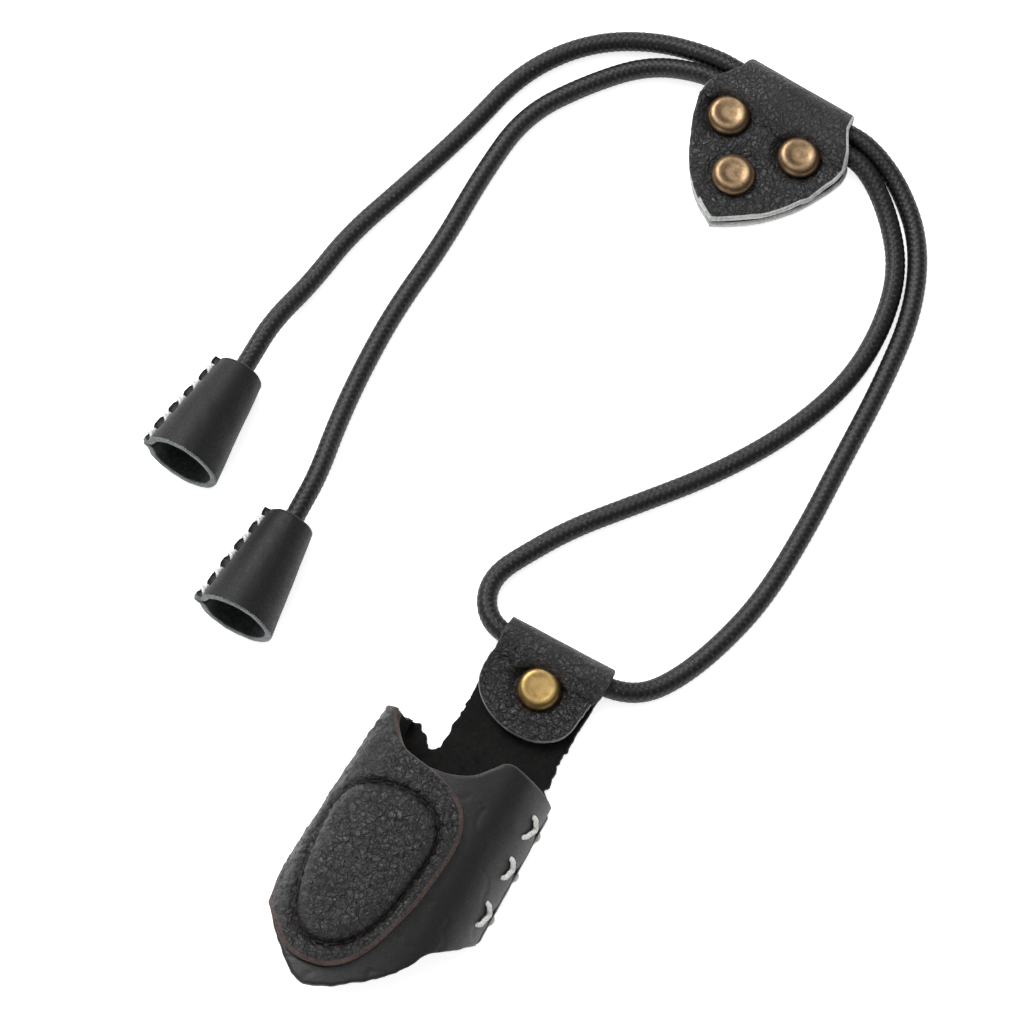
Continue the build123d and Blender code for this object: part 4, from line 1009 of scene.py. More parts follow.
def sleeve_front(A, B, D, P):
    h = np.zeros_like(A)
    q = flat3(A, B)
    on_front = A < A_LEFT + 1
    strap = (B > 24) & (A > A_LEFT + 4)
    # broad, soft unevenness and a few long creases of the front panel
    h += np.where(on_front, 0.16 * fbm(q, 11, 2, 3) + 0.05 * fbm(q, 3.2, 2, 4), 0)
    crease = np.abs(fbm(np.stack([A * 0.45 + B * 0.2, B - A * 0.25, A * 0], 1), 5.0, 2, 8))
    h -= np.where(on_front & (B < 15), 0.10 * np.exp(-(crease / 0.05) ** 2), 0)
    # pulled in towards each stitch of the seam
    for y0 in SEAM_Y:
        d = np.hypot(A * 0.8, B - y0)
        h -= np.where(on_front, 0.35 * np.exp(-(d / 1.5) ** 2), 0)
    h -= 0.95 * np.exp(-((B + 20.4) / 2.6) ** 2) * np.exp(-((A - A_LEFT + 0.5) / 4.5) ** 2)
    # pressed down under the patch
    under = inside(np.stack([A, B], 1), patch_outline) & (A < A_LEFT + 8)
    h = np.where(under, np.minimum(h, -0.12), h)
    # the tongue: puckers round the rivet, fine wrinkles, and a lifted right edge
    tongue = B > tongue_b(43.4)
    dx, dy = P[:, 0] - RIVET[0], P[:, 1] - RIVET[1]
    d = np.hypot(dx, dy)
    th = np.arctan2(dy, dx)
    pucker = np.cos(th * 17 + 2.2 * vnoise(flat3(np.cos(th) * 3, np.sin(th) * 3), 1.1, 41)) * (0.5 + 0.5 * vnoise(flat3(dx, dy), 2.4, 42))
    h += np.where(tongue, 0.20 * pucker * np.exp(-((d - 5.6) / 1.7) ** 2), 0)
    h -= np.where(tongue, 0.30 * np.exp(-((d - 3.6) / 1.2) ** 2), 0)
    c, f1 = cells(np.stack([P[:, 0], P[:, 1], P[:, 2] * 0], 1), 0.95, 51)
    wr = fbm(np.stack([P[:, 0] * 0.8, P[:, 1] * 1.25, P[:, 0] * 0], 1), 2.2, 3, 43)
    h += np.where(tongue, 0.055 * (ramp(c, 0.0, 0.28) - 1) + 0.15 * wr, 0)
    cr = np.abs(fbm(np.stack([P[:, 0] * 0.8, P[:, 1] * 1.5, A * 0], 1), 2.4, 3, 46))
    h -= np.where(tongue, 0.16 * np.exp(-(cr / 0.06) ** 2), 0)
    fold = (B > 16 + 27) & ~tongue & strap
    h += np.where(fold, 0.05 * fbm(np.stack([A * 0.5, B * 1.4, A * 0], 1), 2.4, 2, 44), 0)
    return h * ramp(D, 0.0, 0.5) + tongue_rise(A, B, P)


def sleeve_rear(A, B, D, P):
    h = np.zeros_like(A)
    q = flat3(A, B)
    open_strap = (B > 12) & (B < 33) & (A > A_LEFT + 2)
    h += np.where(open_strap, 0.10 * fbm(q, 1.3, 3, 61), 0.05 * fbm(q, 2.0, 2, 62))
    h = np.where(B > 34, np.minimum(h, 0) * 0.3, h)
    return h * ramp(D, 0.0, 0.4) - tongue_rise(A, B, P)


def sleeve_rule(kind, a, b):
    out = np.zeros(len(a), int)
    tongue = b > 16 + 24
    if kind == "front":
        out[tongue] = 1
    elif kind == "rear":
        out[:] = 2
    else:
        out[:] = 3                                     # brown cut edge
        out[(a > A_LEFT + 2) & (b > 20)] = 4           # dark strap edge
        out[(a > A_LEFT + 2) & (b > tongue_b(43))] = 5  # grey line round the tongue
        out[a > A_TOTAL - 1.5] = 4
        out[a < 1.5] = 4
    return out


def sleeve_coarse(A, B):
    return (A > A_LEFT + 6) & (B < 22) | (A > A_LEFT + 6) & (B > 34) & (B < 47)


v, f, m = sheet_mesh(sleeve_outline, sleeve_map, 1.6, SP, coarse=sleeve_coarse, rim=0.42, edge_in=lambda a, b: np.where((b > 15.2) & (a < A_LEFT + 1) & (a > A_LEFT - 9), 0.38, 0.20),
                     front=sleeve_front, rear=sleeve_rear,
                     wall_rough=0.07, mat_rule=sleeve_rule, seed=2)
sleeve = make_object("thumb_sleeve_leather", v, f, [M_front, M_tab, M_flesh, M_rust, M_darkedge, M_thinedge], m)
# rust-brown ring just under the rivet's cap edge: partly patina, partly painted contact shade
patina_and_shade = 0.85 * np.exp(-((np.hypot(v[:, 0] - RIVET[0], v[:, 1] - RIVET[1]) - 4.0) / 0.55) ** 2) * (v[:, 2] > 3.6)
point_attribute(sleeve, "patina_and_shade", patina_and_shade)
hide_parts("thumb_sleeve")
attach(sleeve, "guard")


# ---------------------------------------------------------------- patch
def patch_map(a, b):
    x, z, nx, nz = section_point(a, b, 0.03 + 0.70)
    return np.stack([x, b, z], 1), np.stack([nx, np.zeros_like(nx), nz], 1)


groove_len = np.r_[0, np.cumsum(np.linalg.norm(np.diff(np.concatenate([groove_line, groove_line[:1]]), axis=0), axis=1))]


def groove_place(pts):
    """distance inside the groove (negative outside) and place along it"""
    d = np.zeros(len(pts))
    s = np.zeros(len(pts))
    a, b = groove_line, np.roll(groove_line, -1, axis=0)
    for i in range(0, len(pts), 3000):
        q = pts[i:i + 3000]
        e = b - a
        w = np.clip(((q[:, None, :] - a[None]) * e[None]).sum(2) / ((e * e).sum(1) + 1e-12)[None], 0, 1)
        near = a[None] + w[..., None] * e[None]
        dist = np.sqrt(((q[:, None, :] - near) ** 2).sum(2))
        k = dist.argmin(1)
        d[i:i + 3000] = dist[np.arange(len(q)), k]
        s[i:i + 3000] = groove_len[k] + w[np.arange(len(q)), k] * (groove_len[k + 1] - groove_len[k])
    return np.where(inside(pts, groove_line), d, -d), s


def unroll_fast(x, y, z):
    """unrolled place of points near the sleeve's surface"""
    a = np.linspace(0, A_TOTAL * 0.72, 700)
    out = np.zeros(len(x))
    order = np.argsort(y)
    for part in np.array_split(order, 160):
        if not len(part):
            continue
        px, pz, _, _ = section_point(a, np.full_like(a, y[part].mean()), 0.73)
        d = (x[part, None] - px[None]) ** 2 + (z[part, None] - pz[None]) ** 2
        out[part] = a[d.argmin(1)]
    return out


def patch_front(A, B, D, P):
    d, s = groove_place(np.stack([A, B], 1))
    q = flat3(A, B)
    h = 1.25 * ramp(d, -0.1, 2.6) ** 0.7 * (d > 0)
    h -= 1.0 * np.exp(-(d / 0.46) ** 2)
    h += 0.25 * np.exp(-((d + 1.6) / 0.9) ** 2)
    wob = vnoise(flat3(s, s * 0), 2.3, 71)
    pucker = np.sin(2 * math.pi * (s / 1.9 + 0.4 * wob))
    h += 0.17 * pucker * np.exp(-((d - 0.9) / 1.2) ** 2) * (0.6 + 0.5 * vnoise(flat3(s, d), 3.1, 72))
    h += 0.14 * pucker * np.exp(-((d + 1.1) / 0.9) ** 2)
    # pebbled grain: small lumps parted by creases, warped so that no two are alike
    warp = np.stack([A + 0.8 * vnoise(q, 1.7, 77), B + 0.8 * vnoise(q, 1.7, 78), A * 0], 1)
    c, _ = cells(warp * [1.0, 1.12, 1], 1.75, 75)
    c2, _ = cells(warp * [1.25, 0.8, 1], 0.85, 76)
    crease = np.abs(fbm(np.stack([A * 0.9, B * 1.3, A * 0], 1), 2.6, 3, 79))
    h += 0.20 * (ramp(c, 0.0, 0.6) - 1) * ramp(D, 0.2, 1.6) + 0.10 * (ramp(c2, 0.0, 0.5) - 1)
    h -= 0.16 * np.exp(-(crease / 0.055) ** 2)
    h += 0.14 * fbm(q, 6.5, 2, 73) * ramp(D, 0.4, 3) + 0.10 * fbm(q, 1.2, 2, 74)
    h += -0.30 * ramp(1.6 - D, 0, 1.6) * (B < 14)
    # folds that run down from the horn
    horn = ramp(B, 12, 19) * np.exp(-((A - A_LEFT + 5) / 6) ** 2)
    h += 0.20 * horn * np.cos((A * 0.75 + B * 0.55) * 1.7 + vnoise(q, 3.0, 80) * 2)
    return h * ramp(D, 0.0, 0.35)


SPP = 0.36
v, f, m = sheet_mesh(patch_outline, patch_map, 1.4, SPP, rim=0.78, depth=0.62, front=patch_front, wall_rough=0.09,
                     edge_in=lambda a, b: np.where(b > 13, 0.18, 0.71),
                     mat_rule=lambda kind, a, b: np.full(len(a), 1 if kind == "wall" else 0), seed=5)
patch = make_object("pad_cover_leather", v, f, [M_pad, M_rust], m)
gd = np.full(len(v), 9.0)
co = np.stack([unroll_fast(v[:, 0], v[:, 1], v[:, 2]), v[:, 1]], 1)
gd = groove_place(co)[0]
# painted shade along the stitched groove of the patch
point_attribute(patch, "patina_and_shade", 0.92 * np.exp(-(gd / 0.42) ** 2))
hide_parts("pad_cover", "pad_core")
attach(patch, "guard")

# stitches sunk in the groove
stitches = []
n_st = int(groove_len[-1] / 2.35)
loop = np.concatenate([groove_line, groove_line[:1]])
for k in range(n_st):
    s0 = (k + 0.14) * groove_len[-1] / n_st
    s1 = (k + 0.80) * groove_len[-1] / n_st
    t = np.linspace(s0, s1, 9)
    a, b = np.interp(t, groove_len, loop[:, 0]), np.interp(t, groove_len, loop[:, 1])
    P, N = patch_map(a, b)
    lift = 0.7 - 1.0 + 0.20 - 0.4 * (2 * np.linspace(0, 1, 9) - 1) ** 4
    P = P + N * lift[:, None]
    stitches.append(tube(resample(P, 0.12)[0], 0.21, 8)[:3])
v, f, m = joined(stitches)
o = make_object("pad_stitches", v, f, [M_darkthread], m)
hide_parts("pad_stitching")
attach(o, "guard")


# ---------------------------------------------------------------- seam stitches
def surface_point(x, y, lift):
    a = unroll(np.array([x]), np.array([y]), "front", 0.0)
    X, Z, nx, nz = section_point(a, np.array([y], float), 0.0)
    return np.array([X[0] + nx[0] * lift, y, Z[0] + nz[0] * lift])


def twisted(path, radius, around=12, turn=1.5, depth=0.09):
    return tube(path, radius, around, height=lambda th, s: depth * radius * 2 * np.abs(np.cos(th + s * 2 * math.pi / turn)) - depth * radius
                + 0.05 * radius * vnoise(np.stack([np.cos(th).ravel() * 2, np.sin(th).ravel() * 2, s.ravel()], 1), 0.5, 5).reshape(th.shape))[:3]


V_STITCH = [((11.5, 17.5), (12.25, 16.1), (11.5, 13.9)), ((11.5, 9.1), (12.1, 7.9), (11.75, 5.9)), ((11.6, 0.2), (12.35, -1.0), (11.85, -3.5))]
sts = []
for top, mid, low in V_STITCH:
    c = surface_point(mid[0], mid[1], 0.34)
    hole_in = surface_point(mid[0] + 0.12, mid[1], -1.3)
    for end in (top, low):
        e = surface_point(end[0], end[1], 0.34)
        din = surface_point(end[0] - 0.25, end[1] + (0.45 if end is top else -0.45), -1.0)
        half = 0.5 * (e + c) + np.array([0.10, 0, 0.16])
        sts.append(twisted(resample(smooth_line(np.array([din, e, half, c, hole_in]), 0.15), 0.14)[0], 0.44))
    # the same thread on the back panel, from hole to hole under the seam
    ph = math.radians(-40)
    for dy in (-1.6, 1.6):
        pts = [np.array([10 + r * math.cos(a), mid[1] + y, 3.2 + r * math.sin(a)]) for r, a, y in
               ((2.2, ph - 0.25, dy), (3.48, ph - 0.25, dy), (3.56, ph + 0.05, dy * 0.5), (3.48, ph + 0.35, 0), (2.2, ph + 0.4, 0))]
        sts.append(twisted(resample(smooth_line(np.array(pts), 0.15), 0.14)[0], 0.33))
v, f, m = joined(sts)
o = make_object("seam_stitches", v, f, [M_whitethread], m)
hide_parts("seam_stitching")
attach(o, "guard")


# ---------------------------------------------------------------- rivets
def lathe(profile, centre, around=64, mat=0):
    p = np.asarray(profile, float)
    th = np.linspace(0, 2 * math.pi, around, endpoint=False)
    rings = []
    for r, z in p:
        rings.append(np.stack([centre[0] + r * np.cos(th), centre[1] + r * np.sin(th), np.full(around, centre[2] + z)], 1))
    v = np.concatenate(rings)
    faces = []
    for i in range(len(p) - 1):
        for k in range(around):
            l = (k + 1) % around
            faces.append((i * around + k, i * around + l, (i + 1) * around + l, (i + 1) * around + k))
    faces.append(tuple(range((len(p) - 1) * around, len(p) * around)))
    faces.append(tuple(range(around - 1, -1, -1)))
    return v, faces, [mat] * len(faces)


def dome(points, step=0.12):
    return smooth_line(np.array(points, float), step)


TAB_CAP = np.concatenate([[(1.3, 0.0), (3.8, 0.0)], dome([(3.8, 0.0), (4.08, 0.14), (4.12, 0.45), (4.02, 0.86), (3.76, 1.26), (3.38, 1.56),
                          (2.95, 1.70), (2.55, 1.71), (2.1, 1.66), (1.2, 1.62), (0.05, 1.61)], 0.10)])
TOG_CAP = np.concatenate([[(1.3, 0.0), (3.75, 0.0)], dome([(3.75, 0.0), (4.03, 0.12), (4.08, 0.42), (4.00, 0.84), (3.76, 1.26), (3.36, 1.60),
                          (2.90, 1.78), (2.50, 1.80), (2.05, 1.73), (1.5, 1.62), (0.8, 1.58), (0.05, 1.60)], 0.10)])


def cap_piece(name, places, profile, z, mat, node, body):
    parts = [lathe(profile, (x, y, z)) for x, y in places]
    v, f, m = joined(parts)
    o = make_object(name, v, f, [mat], m)
    h = v[:, 2] - z
    point_attribute(o, "patina_and_shade", np.clip(1 - h / 0.35, 0, 1) * 0.85)
    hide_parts(node)
    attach(o, body)
    return o


cap_piece("tab_rivet_head", [tuple(RIVET)], TAB_CAP, 4.1, M_brass, "tab_rivet_cap", "guard")
TURN = math.radians(-3.6)
TU = np.array([math.cos(TURN), math.sin(TURN), 0])
TV = np.array([math.sin(TURN), -math.cos(TURN), 0])
TO = np.array([-11.6, 169.4, 0])


def toggle_xy(u, w):
    return TO + np.multiply.outer(np.asarray(u, float), TU) + np.multiply.outer(np.asarray(w, float), TV)


TOGGLE_RIVETS = [(-9.0, 14.5), (-1.9, 24.0), (6.9, 14.5)]
cap_piece("slider_rivet_heads", [tuple(toggle_xy(u + du, w + dw)[:2]) for (u, w), (du, dw) in
          zip(TOGGLE_RIVETS, ((-0.45, -1.6), (-0.38, -0.85), (-0.40, -1.25)))], TOG_CAP * [1.05, 1.0], 4.25, M_bronze, "slider_rivet_caps",
          "slider")
for node in ("tab_rivet_post", "slider_rivet_posts"):
    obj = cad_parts[node]
    obj.data.materials.clear()
    obj.data.materials.append(M_brass if node.startswith("tab") else M_bronze)

# ---------------------------------------------------------------- toggle
TL, TL_S = fillet_path([(40, 1.8), (10.3, 1.8), (8.1, 0.75), (0.8, 0.75), (0.8, 6.45), (9.145, 6.45), (10.89, 3.43), (40, 3.43)],
                       [2.4, 2.4, 2.845, 2.845, 2.84, 2.0])
TL_D = np.gradient(TL, axis=0)
TL_D /= np.linalg.norm(TL_D, axis=1)[:, None]
MID = int(np.argmin(TL[:, 0] + 1e-3 * np.abs(TL[:, 1] - 3.6)))


def w_back(vv):
    return np.interp(vv, TL[:MID, 0][::-1], TL_S[:MID][::-1])


def w_front(vv):
    return np.interp(vv, TL[MID:, 0], TL_S[MID:])


def toggle_map(u, w):
    vv, z = np.interp(w, TL_S, TL[:, 0]), np.interp(w, TL_S, TL[:, 1])
    dv, dz = np.interp(w, TL_S, TL_D[:, 0]), np.interp(w, TL_S, TL_D[:, 1])
    n2 = np.stack([-dz, dv], 1)
    n2 /= np.linalg.norm(n2, axis=1)[:, None]
    P = toggle_xy(u, vv)
    P[:, 2] = z
    N = n2[:, :1] * TV[None, :]
    N[:, 2] = n2[:, 1]
    return P, N


TOGGLE_RIGHT = [(11.9, 3.9), (12.2, 4.6), (13.8, 7.3), (15.3, 9.6), (15.6, 11.6), (15.2, 13.6), (13.8, 17.1), (11.1, 22.1), (6.8, 27.2),
                (2.2, 30.9), (-1.4, 33.2)]
TOGGLE_LEFT = [(-1.4, 33.2), (-5.9, 30.6), (-9.6, 27.1), (-12.4, 22.9), (-14.6, 18.4), (-16.0, 14.4), (-16.6, 11.4), (-16.2, 9.2),
               (-14.2, 6.3), (-12.4, 3.9)]
tr = smooth_line(np.array(TOGGLE_RIGHT, float), 0.35)
tl = smooth_line(np.array(TOGGLE_LEFT, float), 0.35)


def grown_right(p, g):
    k = ramp(p[:, 1], 6, 13)
    return p + np.stack([g * 0.30 * k, g * 0.55 * ramp(p[:, 1], 14, 30)], 1)


def grown_left(p, g):
    k = ramp(p[:, 1], 6, 13)
    return p + np.stack([0.45 * k, g * 0.50 * ramp(p[:, 1], 14, 30)], 1)


br, bl = grown_right(tr, 0.80), grown_left(tl, 0.80)
front_r = np.stack([tr[:, 0], w_front(tr[:, 1])], 1)
front_l = np.stack([tl[:, 0], w_front(tl[:, 1])], 1)
back_r = np.stack([br[:, 0], w_back(br[:, 1])], 1)
back_l = np.stack([bl[:, 0], w_back(bl[:, 1])], 1)
fold_r = np.stack([np.interp(np.linspace(0, 1, 20), [0, 0.5, 1], [11.9, 11.3, 11.9]), np.linspace(w_back(3.9), w_front(3.9), 20)], 1)
fold_l = np.stack([np.interp(np.linspace(0, 1, 20), [0, 0.5, 1], [-12.4, -11.3, -12.4]), np.linspace(w_front(3.9), w_back(3.9), 20)], 1)
wavy = front_r.copy()
wavy[:, 0] += 0.22 * vnoise(flat3(wavy[:, 1], wavy[:, 1] * 0), 1.9, 81) * ramp(tr[:, 1], 6, 9)
toggle_outline = clean_outline([back_r[::-1], fold_r[1:-1], wavy, roughened(front_l[1:], 0.10, 1.7, 83), fold_l[1:-1], back_l[::-1][:-1]], 0.14)


CAPS_UV = [(u + du, w + dw) for (u, w), (du, dw) in zip(TOGGLE_RIVETS, ((-0.45, -1.6), (-0.38, -0.85), (-0.40, -1.25)))]


def toggle_rise(U, W):
    """the front layer slopes gently down from the fold, and the rivets pull it flat"""
    vv, z = np.interp(W, TL_S, TL[:, 0]), np.interp(W, TL_S, TL[:, 1])
    d = np.min([np.hypot(U - u0, vv - v0) for u0, v0 in CAPS_UV], axis=0)
    goal = np.interp(vv, [8.6, 11.5, 15.0, 20.0, 26.0], [6.42, 5.45, 4.55, 3.85, 3.43])
    return np.where(W > w_front(8.4), np.maximum(goal - z, 0) * ramp(d, 3.9, 6.4), 0)


def toggle_front(U, W, D, P):
    vv = np.interp(W, TL_S, TL[:, 0])
    face = W > w_front(9.3)
    q = flat3(U, vv)
    h = np.zeros_like(U)
    for u0, v0 in CAPS_UV:
        d = np.hypot(U - u0, vv - v0)
        th = np.arctan2(vv - v0, U - u0)
        h -= np.where(face, 0.30 * np.exp(-((d - 3.4) / 1.5) ** 2), 0)
        h += np.where(face, 0.09 * np.cos(th * 11 + u0) * np.exp(-((d - 5.2) / 1.2) ** 2), 0)
    c, _ = cells(np.stack([U * 1.25, vv * 0.8, U * 0], 1), 0.8, 91)
    h += np.where(face, 0.05 * (ramp(c, 0, 0.28) - 1) + 0.10 * fbm(q, 2.4, 3, 92) + 0.12 * fbm(q, 8, 2, 93), 0)
    lines = fbm(np.stack([U * 1.6, vv * 0.35 + U * 0.15, U * 0], 1), 1.5, 2, 94)
    h += np.where(face, 0.13 * lines, 0)
    band = (W > w_back(4)) & ~face
    h += np.where(band, 0.05 * fbm(np.stack([U, W * 2.0, U * 0], 1), 3.0, 2, 95), 0)
    crease = np.abs(fbm(np.stack([U * 0.9, vv * 1.3, U * 0], 1), 2.2, 3, 96))
    h -= np.where(face, 0.13 * np.exp(-(crease / 0.06) ** 2), 0)
    return h * ramp(D, 0.0, 0.4) + toggle_rise(U, W)


v, f, m = sheet_mesh(toggle_outline, toggle_map, 1.6, 0.44, coarse=lambda U, W: W < w_back(9.0), rim=0.52, depth=0.46,
                     front=toggle_front, rear=lambda U, W, D, P: -toggle_rise(U, W), wall_rough=0.08,
                     edge_in=lambda a, b: np.where(b < w_back(4.0), 0.50, np.where(a > -5.5, 0.50, 0.09)),
                     mat_rule=lambda kind, a, b: np.full(len(a), {"front": 0, "rear": 1, "wall": 2}[kind]), seed=7)
toggle = make_object("slider_leather_folded", v, f, [M_toggle, M_flesh, M_greyedge], m)
# rust-brown ring under each cap's edge: partly patina, partly painted contact shade
patina_and_shade = np.zeros(len(v))
for u0, v0 in CAPS_UV:
    c = toggle_xy(u0, v0)
    patina_and_shade = np.maximum(patina_and_shade, 0.7 * np.exp(-((np.hypot(v[:, 0] - c[0], v[:, 1] - c[1]) - 4.0) / 0.45) ** 2) * (v[:, 2] > 3.4))
point_attribute(toggle, "patina_and_shade", patina_and_shade)
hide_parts("slider_leather")
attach(toggle, "slider")

# ---------------------------------------------------------------- bells
BELL_L, BELL_R0, BELL_R1, HALF = 21.8, 4.6, 7.6, math.radians(7.84)
BELL_T = (2.4, 6.6, 10.8, 15.0, 19.2)


def bell_piece(tag, top, turn, seed):
    h = math.radians(turn)
    heading = np.array([math.sin(h), -math.cos(h), 0])
    sidev = np.array([math.cos(h), math.sin(h), 0])
    upz = np.array([0, 0, 1.0])
    axis = heading * math.cos(HALF) + upz * math.sin(HALF)
    up2 = upz * math.cos(HALF) - heading * math.sin(HALF)
    start = np.array([top[0], top[1], 4.557])
    sa = math.radians(177)
    e = sidev * math.cos(sa) + up2 * math.sin(sa)
    g = np.cross(axis, e)
    g /= np.linalg.norm(g)
    TH = 1.4
    half = 0.71

    def section(R):
        """mid-leather line of the strip at a station of outer radius R, as (e, g) parts"""
        Rm = R - TH / 2
        p0 = 0.52
        ring = np.linspace(p0, 2 * math.pi - p0, 90)
        circ = np.stack([Rm * np.cos(ring), Rm * np.sin(ring)], 1)
        lead = np.array([[R + 1.0, half], [R + 0.75, half], [R + 0.45, half], [R - 0.05, half + 0.04], [Rm - 0.15 + 0.05, half + 0.42]])
        lead_l = smooth_line(np.concatenate([lead, circ[:3]]), 0.12)
        first = resample(np.c_[lead_l, np.zeros(len(lead_l))], 0.1)[0][:, :2]
        n1 = 40
        s = np.r_[0, np.cumsum(np.linalg.norm(np.diff(first, axis=0), axis=1))]
        t = np.linspace(0, s[-1], n1)
        first = np.stack([np.interp(t, s, first[:, 0]), np.interp(t, s, first[:, 1])], 1)
        mirror = first[::-1] * [1, -1]
        return np.concatenate([first[:-1], circ[2:-2], mirror[1:]])

    radii = np.linspace(BELL_R0 - 0.2, BELL_R1 + 0.3, 24)
    table = np.stack([section(r) for r in radii])
    ref = table[len(table) // 2]
    s_ref = np.r_[0, np.cumsum(np.linalg.norm(np.diff(ref, axis=0), axis=1))]
    L = s_ref[-1]
    # the normal points away from the bell's middle
    d_ref = np.gradient(table, axis=1)

    def mapping(a, t):
        R = BELL_R0 + (BELL_R1 - BELL_R0) * t / BELL_L
        i = np.clip(np.interp(a, s_ref, np.arange(len(s_ref))), 0, len(s_ref) - 1.0001)
        r = np.clip((R - radii[0]) / (radii[1] - radii[0]), 0, len(radii) - 1.0001)
        i0, r0 = i.astype(int), r.astype(int)
        fi, fr = (i - i0)[:, None], (r - r0)[:, None]

        def look(tab):
            return ((tab[r0, i0] * (1 - fi) + tab[r0, i0 + 1] * fi) * (1 - fr) + (tab[r0 + 1, i0] * (1 - fi) + tab[r0 + 1, i0 + 1] * fi) * fr)
        p, d = look(table), look(d_ref)
        d /= np.linalg.norm(d, axis=1)[:, None] + 1e-12
        n = np.stack([-d[:, 1], d[:, 0]], 1)
        n *= SIGN
        P = start + np.outer(t, axis) + np.outer(p[:, 0], e) + np.outer(p[:, 1], g)
        N = np.outer(n[:, 0], e) + np.outer(n[:, 1], g)
        return P, N

    # sign so that the normal at the middle of the strip points outwards
    mid = ref[len(ref) // 2]
    dm = np.gradient(ref, axis=0)[len(ref) // 2]
    SIGN = 1.0 if (-dm[1] * mid[0] + dm[0] * mid[1]) > 0 else -1.0

    ts = np.arange(0, BELL_L + 0.01, 0.3)
    pinch = np.zeros_like(ts)
    for t0 in BELL_T:
        pinch += 1.05 * np.exp(-((ts - t0) / 0.78) ** 2)
    wob = 0.24 * vnoise(flat3(ts, ts * 0 + seed), 1.9, seed) + 0.10 * vnoise(flat3(ts, ts * 0 + seed), 0.8, seed + 1)
    e1 = np.stack([0.12 + np.maximum(pinch + wob, -0.1), ts], 1)
    e2 = np.stack([L - 0.12 - np.maximum(pinch + 0.8 * wob, -0.1), ts], 1)
    along = np.arange(0.8, L - 0.7, 0.3)
    mouth = np.stack([along, BELL_L - 0.05 + 0.07 * vnoise(flat3(along, along * 0), 3.6, seed + 2) + 0.04 * vnoise(flat3(along, along * 0), 0.9, seed + 3)], 1)
    neck = np.stack([along, 0.10 * vnoise(flat3(along, along * 0), 2.0, seed + 4)], 1)
    outline = clean_outline([e1, mouth, e2[::-1], neck[::-1]], 0.13)

    def front(A, T, D, P):
        on = (A > 4.0) & (A < L - 4.0)
        q = P
        hgt = np.where(on, 0.12 * fbm(q, 8, 2, seed + 11), 0)
        # faint long wrinkles opposite the seam, and pulls at the stitches
        away = np.minimum(A, L - A)
        hgt -= 0.42 * ramp(3.2 - away, 0, 1.4)
        wr = np.abs(fbm(np.stack([A * 1.5, T * 0.6, A * 0], 1), 3.4, 2, seed + 13))
        hgt -= np.where(on, 0.05 * np.exp(-(wr / 0.10) ** 2), 0)
        for t0 in BELL_T:
            hgt -= 0.36 * np.exp(-((T - t0) / 0.8) ** 2) * np.exp(-((away - 1.7) / 1.0) ** 2)
            hgt += 0.22 * np.exp(-((T - t0 - 2.1) / 0.9) ** 2) * np.exp(-((away - 0.9) / 0.8) ** 2)
        return hgt * ramp(D, 0, 0.4)

    v, f, m = sheet_mesh(outline, mapping, TH, 0.5, rim=0.34, front=front,
                         rear=lambda A, T, D, P: np.where((A > 4) & (A < L - 4), 0.06 * fbm(P, 1.2, 3, seed + 15), 0) * ramp(D, 0, 0.4),
                         wall_rough=0.10, mat_rule=lambda kind, a, b: np.where(kind == "front", 0, np.where(kind == "rear", 1,
                         np.where(b > BELL_L - 0.8, 2, 3))) * np.ones(len(a), int), seed=seed)
    o = make_object("bell_%s_wrapped" % tag, v, f, [M_bell, M_bellflesh, M_rim, M_darkedge], m)
    point_attribute(o, "patina_and_shade", np.zeros(len(v)))
    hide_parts("bell_%s_leather" % tag)
    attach(o, "bell_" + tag)
    loops = []
    for i, t0 in enumerate(BELL_T):
        R = BELL_R0 + (BELL_R1 - BELL_R0) * t0 / BELL_L
        for dt, slant in ((-0.34, 0.85), (0.30, -0.75), (-0.02, 0.15), (0.12, 1.15), (0.0, 1.6)):
            ring = np.array([(R - 0.30, 0.5), (R - 0.10, 1.45), (R + 0.30, 1.55), (R + 0.72, 1.0), (R + 0.86, 0.0), (R + 0.72, -1.0), (R + 0.30, -1.55),
                             (R - 0.10, -1.45), (R - 0.30, -0.5)])
            p = start + np.outer(np.full(9, t0 + dt) + slant * np.linspace(-1, 1, 9), axis) + np.outer(ring[:, 0], e) + np.outer(ring[:, 1], g)
            loops.append(twisted(resample(smooth_line(p, 0.15), 0.14)[0], 0.24, 10, 0.9, 0.35))
    v, f, m = joined(loops)
    o = make_object("bell_%s_stitches" % tag, v, f, [M_bellthread], m)
    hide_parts("bell_%s_stitching" % tag)
    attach(o, "bell_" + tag)


bell_piece("left", (-77.9, 66.3), 0.0, 201)
bell_piece("right", (-54.87, 45.4), 2.0, 301)

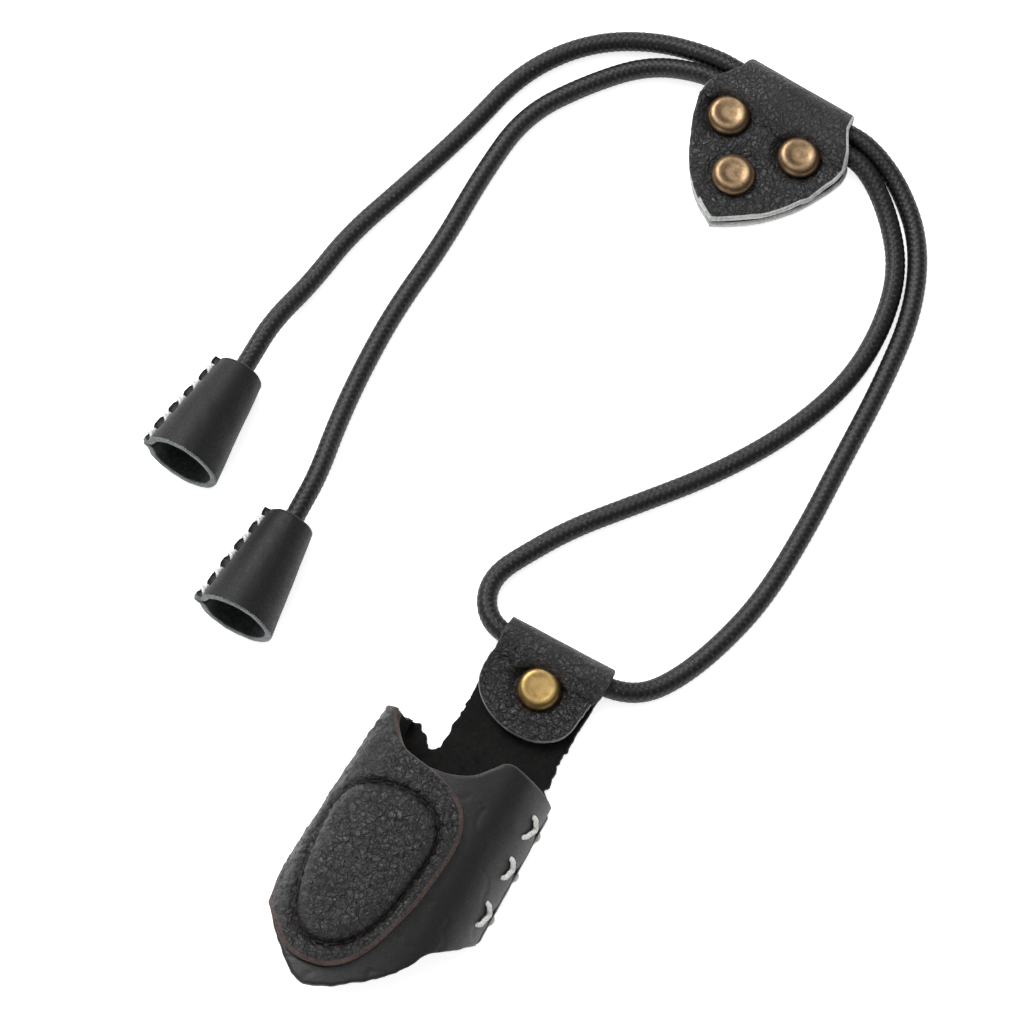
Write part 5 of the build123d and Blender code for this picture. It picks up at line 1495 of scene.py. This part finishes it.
# ---------------------------------------------------------------- floor, light
floor_mesh = bpy.data.meshes.new("floor")
sweep = [(0.0, 0.0), (1.2, 0.0), (2.4, 0.0), (2.7, 0.03), (2.95, 0.12), (3.12, 0.28), (3.2, 0.50), (3.22, 0.80)]
ring_n = 64
fv = [(0.0, 0.0, 0.0)] + [(r * math.cos(2 * math.pi * k / ring_n), r * math.sin(2 * math.pi * k / ring_n), z) for r, z in sweep[1:] for k in range(ring_n)]
ff = [(0, 1 + k, 1 + (k + 1) % ring_n) for k in range(ring_n)]
for i in range(len(sweep) - 2):
    a, b = 1 + i * ring_n, 1 + (i + 1) * ring_n
    ff += [(a + k, b + k, b + (k + 1) % ring_n, a + (k + 1) % ring_n) for k in range(ring_n)]
floor_mesh.from_pydata(fv, [], ff)
for p in floor_mesh.polygons:
    p.use_smooth = True
floor = bpy.data.objects.new("floor", floor_mesh)
scene.collection.objects.link(floor)
floor.location.z = -0.0001
fm = bpy.data.materials.new("floor paper")
fm.use_nodes = True
fb = fm.node_tree.nodes["Principled BSDF"]
fb.inputs["Base Color"].default_value = (0.94, 0.94, 0.94, 1)
fb.inputs["Roughness"].default_value = 0.95
fb.inputs["Specular IOR Level"].default_value = 0.0
fb.inputs["Emission Color"].default_value = (1, 1, 1, 1)
fb.inputs["Emission Strength"].default_value = 0.72
floor_mesh.materials.append(fm)

world = bpy.data.worlds.new("soft daylight")
scene.world = world
world.use_nodes = True
world.node_tree.nodes["Background"].inputs["Color"].default_value = (1, 1, 1, 1)
world.node_tree.nodes["Background"].inputs["Strength"].default_value = 0.16


def area(name, place, look, size, power, colour=(1, 1, 1)):
    d = bpy.data.lights.new(name, "AREA")
    d.shape = "RECTANGLE"
    d.size, d.size_y = size
    d.energy = power
    d.color = colour
    o = bpy.data.objects.new(name, d)
    scene.collection.objects.link(o)
    p, q = Vector(place), Vector(look)
    o.location = p
    o.rotation_euler = (q - p).to_track_quat("-Z", "Y").to_euler()
    return o


# image right and image up along the table
img_r = Vector((right.x, right.y, 0)).normalized()
img_u = Vector((-img_r.y, img_r.x, 0))
centre = Vector((-0.02, 0.07, 0))
area("key softbox", centre - img_r * 0.30 + img_u * 0.50 + Vector((0, 0, 0.66)), centre, (0.50, 0.42), 8.0)
area("overhead", centre + Vector((0, 0, 0.95)) + img_u * 0.20, centre, (0.9, 0.9), 3.8)
area("lower left card", centre - img_r * 0.42 - img_u * 0.50 + Vector((0, 0, 0.28)), centre, (0.40, 0.26), 0.9)

scene.view_settings.view_transform = "Standard"
scene.view_settings.look = "None"
